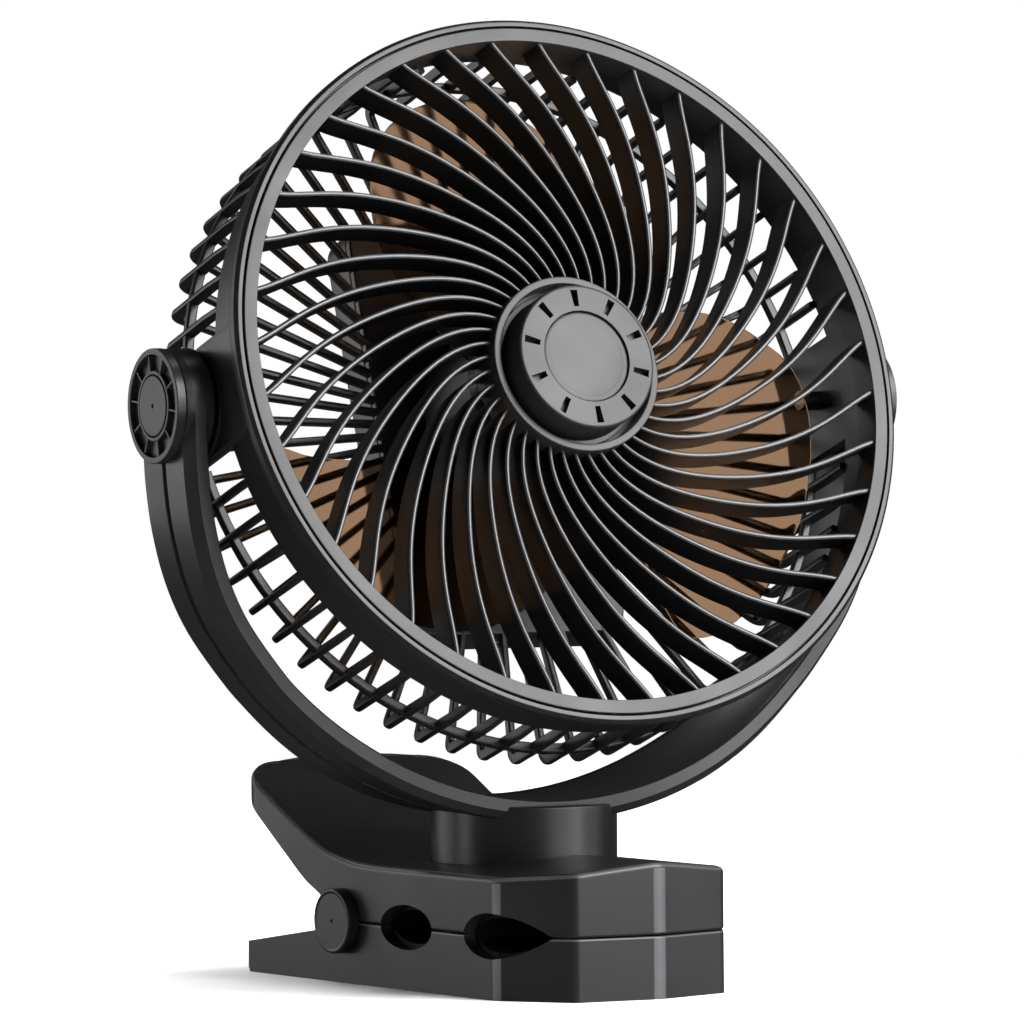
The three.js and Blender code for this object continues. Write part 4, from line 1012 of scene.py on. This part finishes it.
PIV = Matrix.Translation((0, 38.1, 18.9))
piece("clamp_pin_fine", lathe(fillet([(0, -41.2, 0), (3, -41.2, 0.4), (3, 41.2, 0.4), (0, 41.2, 0)], closed=False), 48), PIV @ TO_X, "base", STEEL, ["clamp_pin"])
for side_, k in (("left", -1), ("right", 1)):
    prof = [(0, 41.5), (9.5, 41.5), (9.75, 41.6), (9.9, 41.9), (9.9, 44.5), (9.82, 44.85), (9.6, 45.08), (9.3, 45.18), (8.95, 45.18), (8.8, 45.1), (8.6, 45.02), (8.3, 45.0), (0.75, 45.0), (0.6, 44.95), (0.55, 44.5), (0, 44.5)]
    flip = Matrix.Rotation(math.pi, 4, "Z") if k < 0 else ONE
    piece(f"clamp_cap_fine_{side_}", lathe(prof, 96), PIV @ flip @ TO_X, "base", BLACK, [f"clamp_cap_{side_}"], sharp=40)

# torsion spring
wire, R = 1.0, 5.4
path3 = []
N = 160
for i in range(N + 1):
    t = rad(262.2 - 1241.4 * i / N)
    path3.append(np.array([-12 + 24 * i / N, 38.1 + R * math.cos(t), 18.9 + R * math.sin(t)]))
f0, f1 = path3[0], path3[-1]
lead0 = [np.array([f0[0], 48.6, 12.2]) * (1 - s) + f0 * s for s in np.linspace(0, 1, 6)[:-1]]
lead1 = [np.array([f1[0], 48.6, 26.2]) * s + f1 * (1 - s) for s in np.linspace(0, 0.7, 6)[1:]]
path3 = lead0 + path3 + lead1
loops = []
for i, p in enumerate(path3):
    a, b = path3[max(0, i - 1)], path3[min(len(path3) - 1, i + 1)]
    d = (b - a) / np.linalg.norm(b - a)
    u_ = np.array([1.0, 0, 0]) - d * d[0]
    u_ /= np.linalg.norm(u_)
    v_ = np.cross(d, u_)
    loops.append([tuple(p + wire * 0.97 * (u_ * math.cos(q) + v_ * math.sin(q))) for q in np.linspace(0, 2 * math.pi, 13)[:-1]])
piece("clamp_spring_fine", loft(loops), ONE, "base", STEEL, ["clamp_spring"])

# ---------------------------------------------------------------- floor and light
def emptyless(name, verts, faces, mat):
    me = bpy.data.meshes.new(name)
    me.from_pydata(verts, [], faces)
    me.materials.append(mat)
    o = bpy.data.objects.new(name, me)
    COL.objects.link(o)
    o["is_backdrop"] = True
    return o


fm = bpy.data.materials.new("floor_white")
fm.use_nodes = True
nt = fm.node_tree
b = nt.nodes["Principled BSDF"]
b.inputs["Roughness"].default_value = 0.8
b.inputs["Specular IOR Level"].default_value = 0.1
tc = node(nt, "ShaderNodeTexCoord")
ns = setin(node(nt, "ShaderNodeTexNoise"), Scale=3.0, Detail=3.0)
nt.links.new(tc.outputs["Object"], ns.inputs["Vector"])
mx = node(nt, "ShaderNodeMix", data_type="RGBA")
mx.inputs[6].default_value = (0.93, 0.93, 0.93, 1)
mx.inputs[7].default_value = (0.95, 0.95, 0.95, 1)
nt.links.new(ns.outputs["Fac"], mx.inputs[0])
nt.links.new(mx.outputs[2], b.inputs["Base Color"])
floor = emptyless("floor", [(1.3 * math.cos(math.pi * i / 48), 1.3 * math.sin(math.pi * i / 48), 0) for i in range(96)], [tuple(range(96))], fm)
floor.visible_glossy = False

world = bpy.data.worlds.new("studio")
bpy.context.scene.world = world
world.use_nodes = True
wt = world.node_tree
bg = wt.nodes["Background"]
lp = node(wt, "ShaderNodeLightPath")
pick = node(wt, "ShaderNodeMath", operation="MAXIMUM")
wt.links.new(lp.outputs["Is Camera Ray"], pick.inputs[0])
wt.links.new(lp.outputs["Is Transmission Ray"], pick.inputs[1])
lev = setin(node(wt, "ShaderNodeMapRange"), To_Min=0.045, To_Max=1.0)
wt.links.new(pick.outputs[0], lev.inputs["Value"])
bg.inputs["Color"].default_value = (1, 1, 1, 1)
wt.links.new(lev.outputs["Result"], bg.inputs["Strength"])


def area(name, at, look, size, power, size_y=None):
    ld = bpy.data.lights.new(name, "AREA")
    ld.energy, ld.size = power, size
    if size_y:
        ld.shape, ld.size_y = "RECTANGLE", size_y
    o = bpy.data.objects.new(name, ld)
    o.location = at
    o.rotation_euler = (Vector(look) - Vector(at)).to_track_quat("-Z", "Y").to_euler()
    COL.objects.link(o)
    return o


area("key", (0.61, -1.13, 0.97), (0, 0, 0.19), 0.95, 25, 0.8)
area("right_panel", (0.50, -1.42, 0.32), (0, 0, 0.12), 1.25, 10.0, 0.8)
area("right_far", (1.30, -0.80, 0.30), (0, 0, 0.10), 0.6, 2.4, 0.8)
area("right_strip", (0.80, -1.16, 0.28), (0, 0, 0.06), 0.16, 2.6, 0.8)
area("left_panel", (-0.78, 1.32, 0.32), (0, 0, 0.12), 0.9, 3.6, 0.9)
area("left_strip", (-1.35, 0.55, 0.30), (0, 0, 0.12), 0.22, 3.4, 0.9)
area("top", (0.62, -0.05, 1.40), (0, 0, 0.15), 0.35, 3.6, 0.5)
area("back_top", (0.0, 1.25, 1.0), (0, 0, 0.15), 0.30, 0.9, 0.30)
sun = bpy.data.lights.new("overhead", "SUN")
sun.energy, sun.angle = 3.4, rad(55)
so = bpy.data.objects.new("overhead", sun)
so.rotation_euler = (rad(6), rad(4), 0)
COL.objects.link(so)
only_floor = bpy.data.collections.new("floor_light")
only_floor.objects.link(floor)
so.light_linking.receiver_collection = only_floor

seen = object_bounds()
rows = lambda bb: [[float(c) for c in p] for p in bb]
{"cad": rows(CAD_BOX), "visual": rows(seen)}
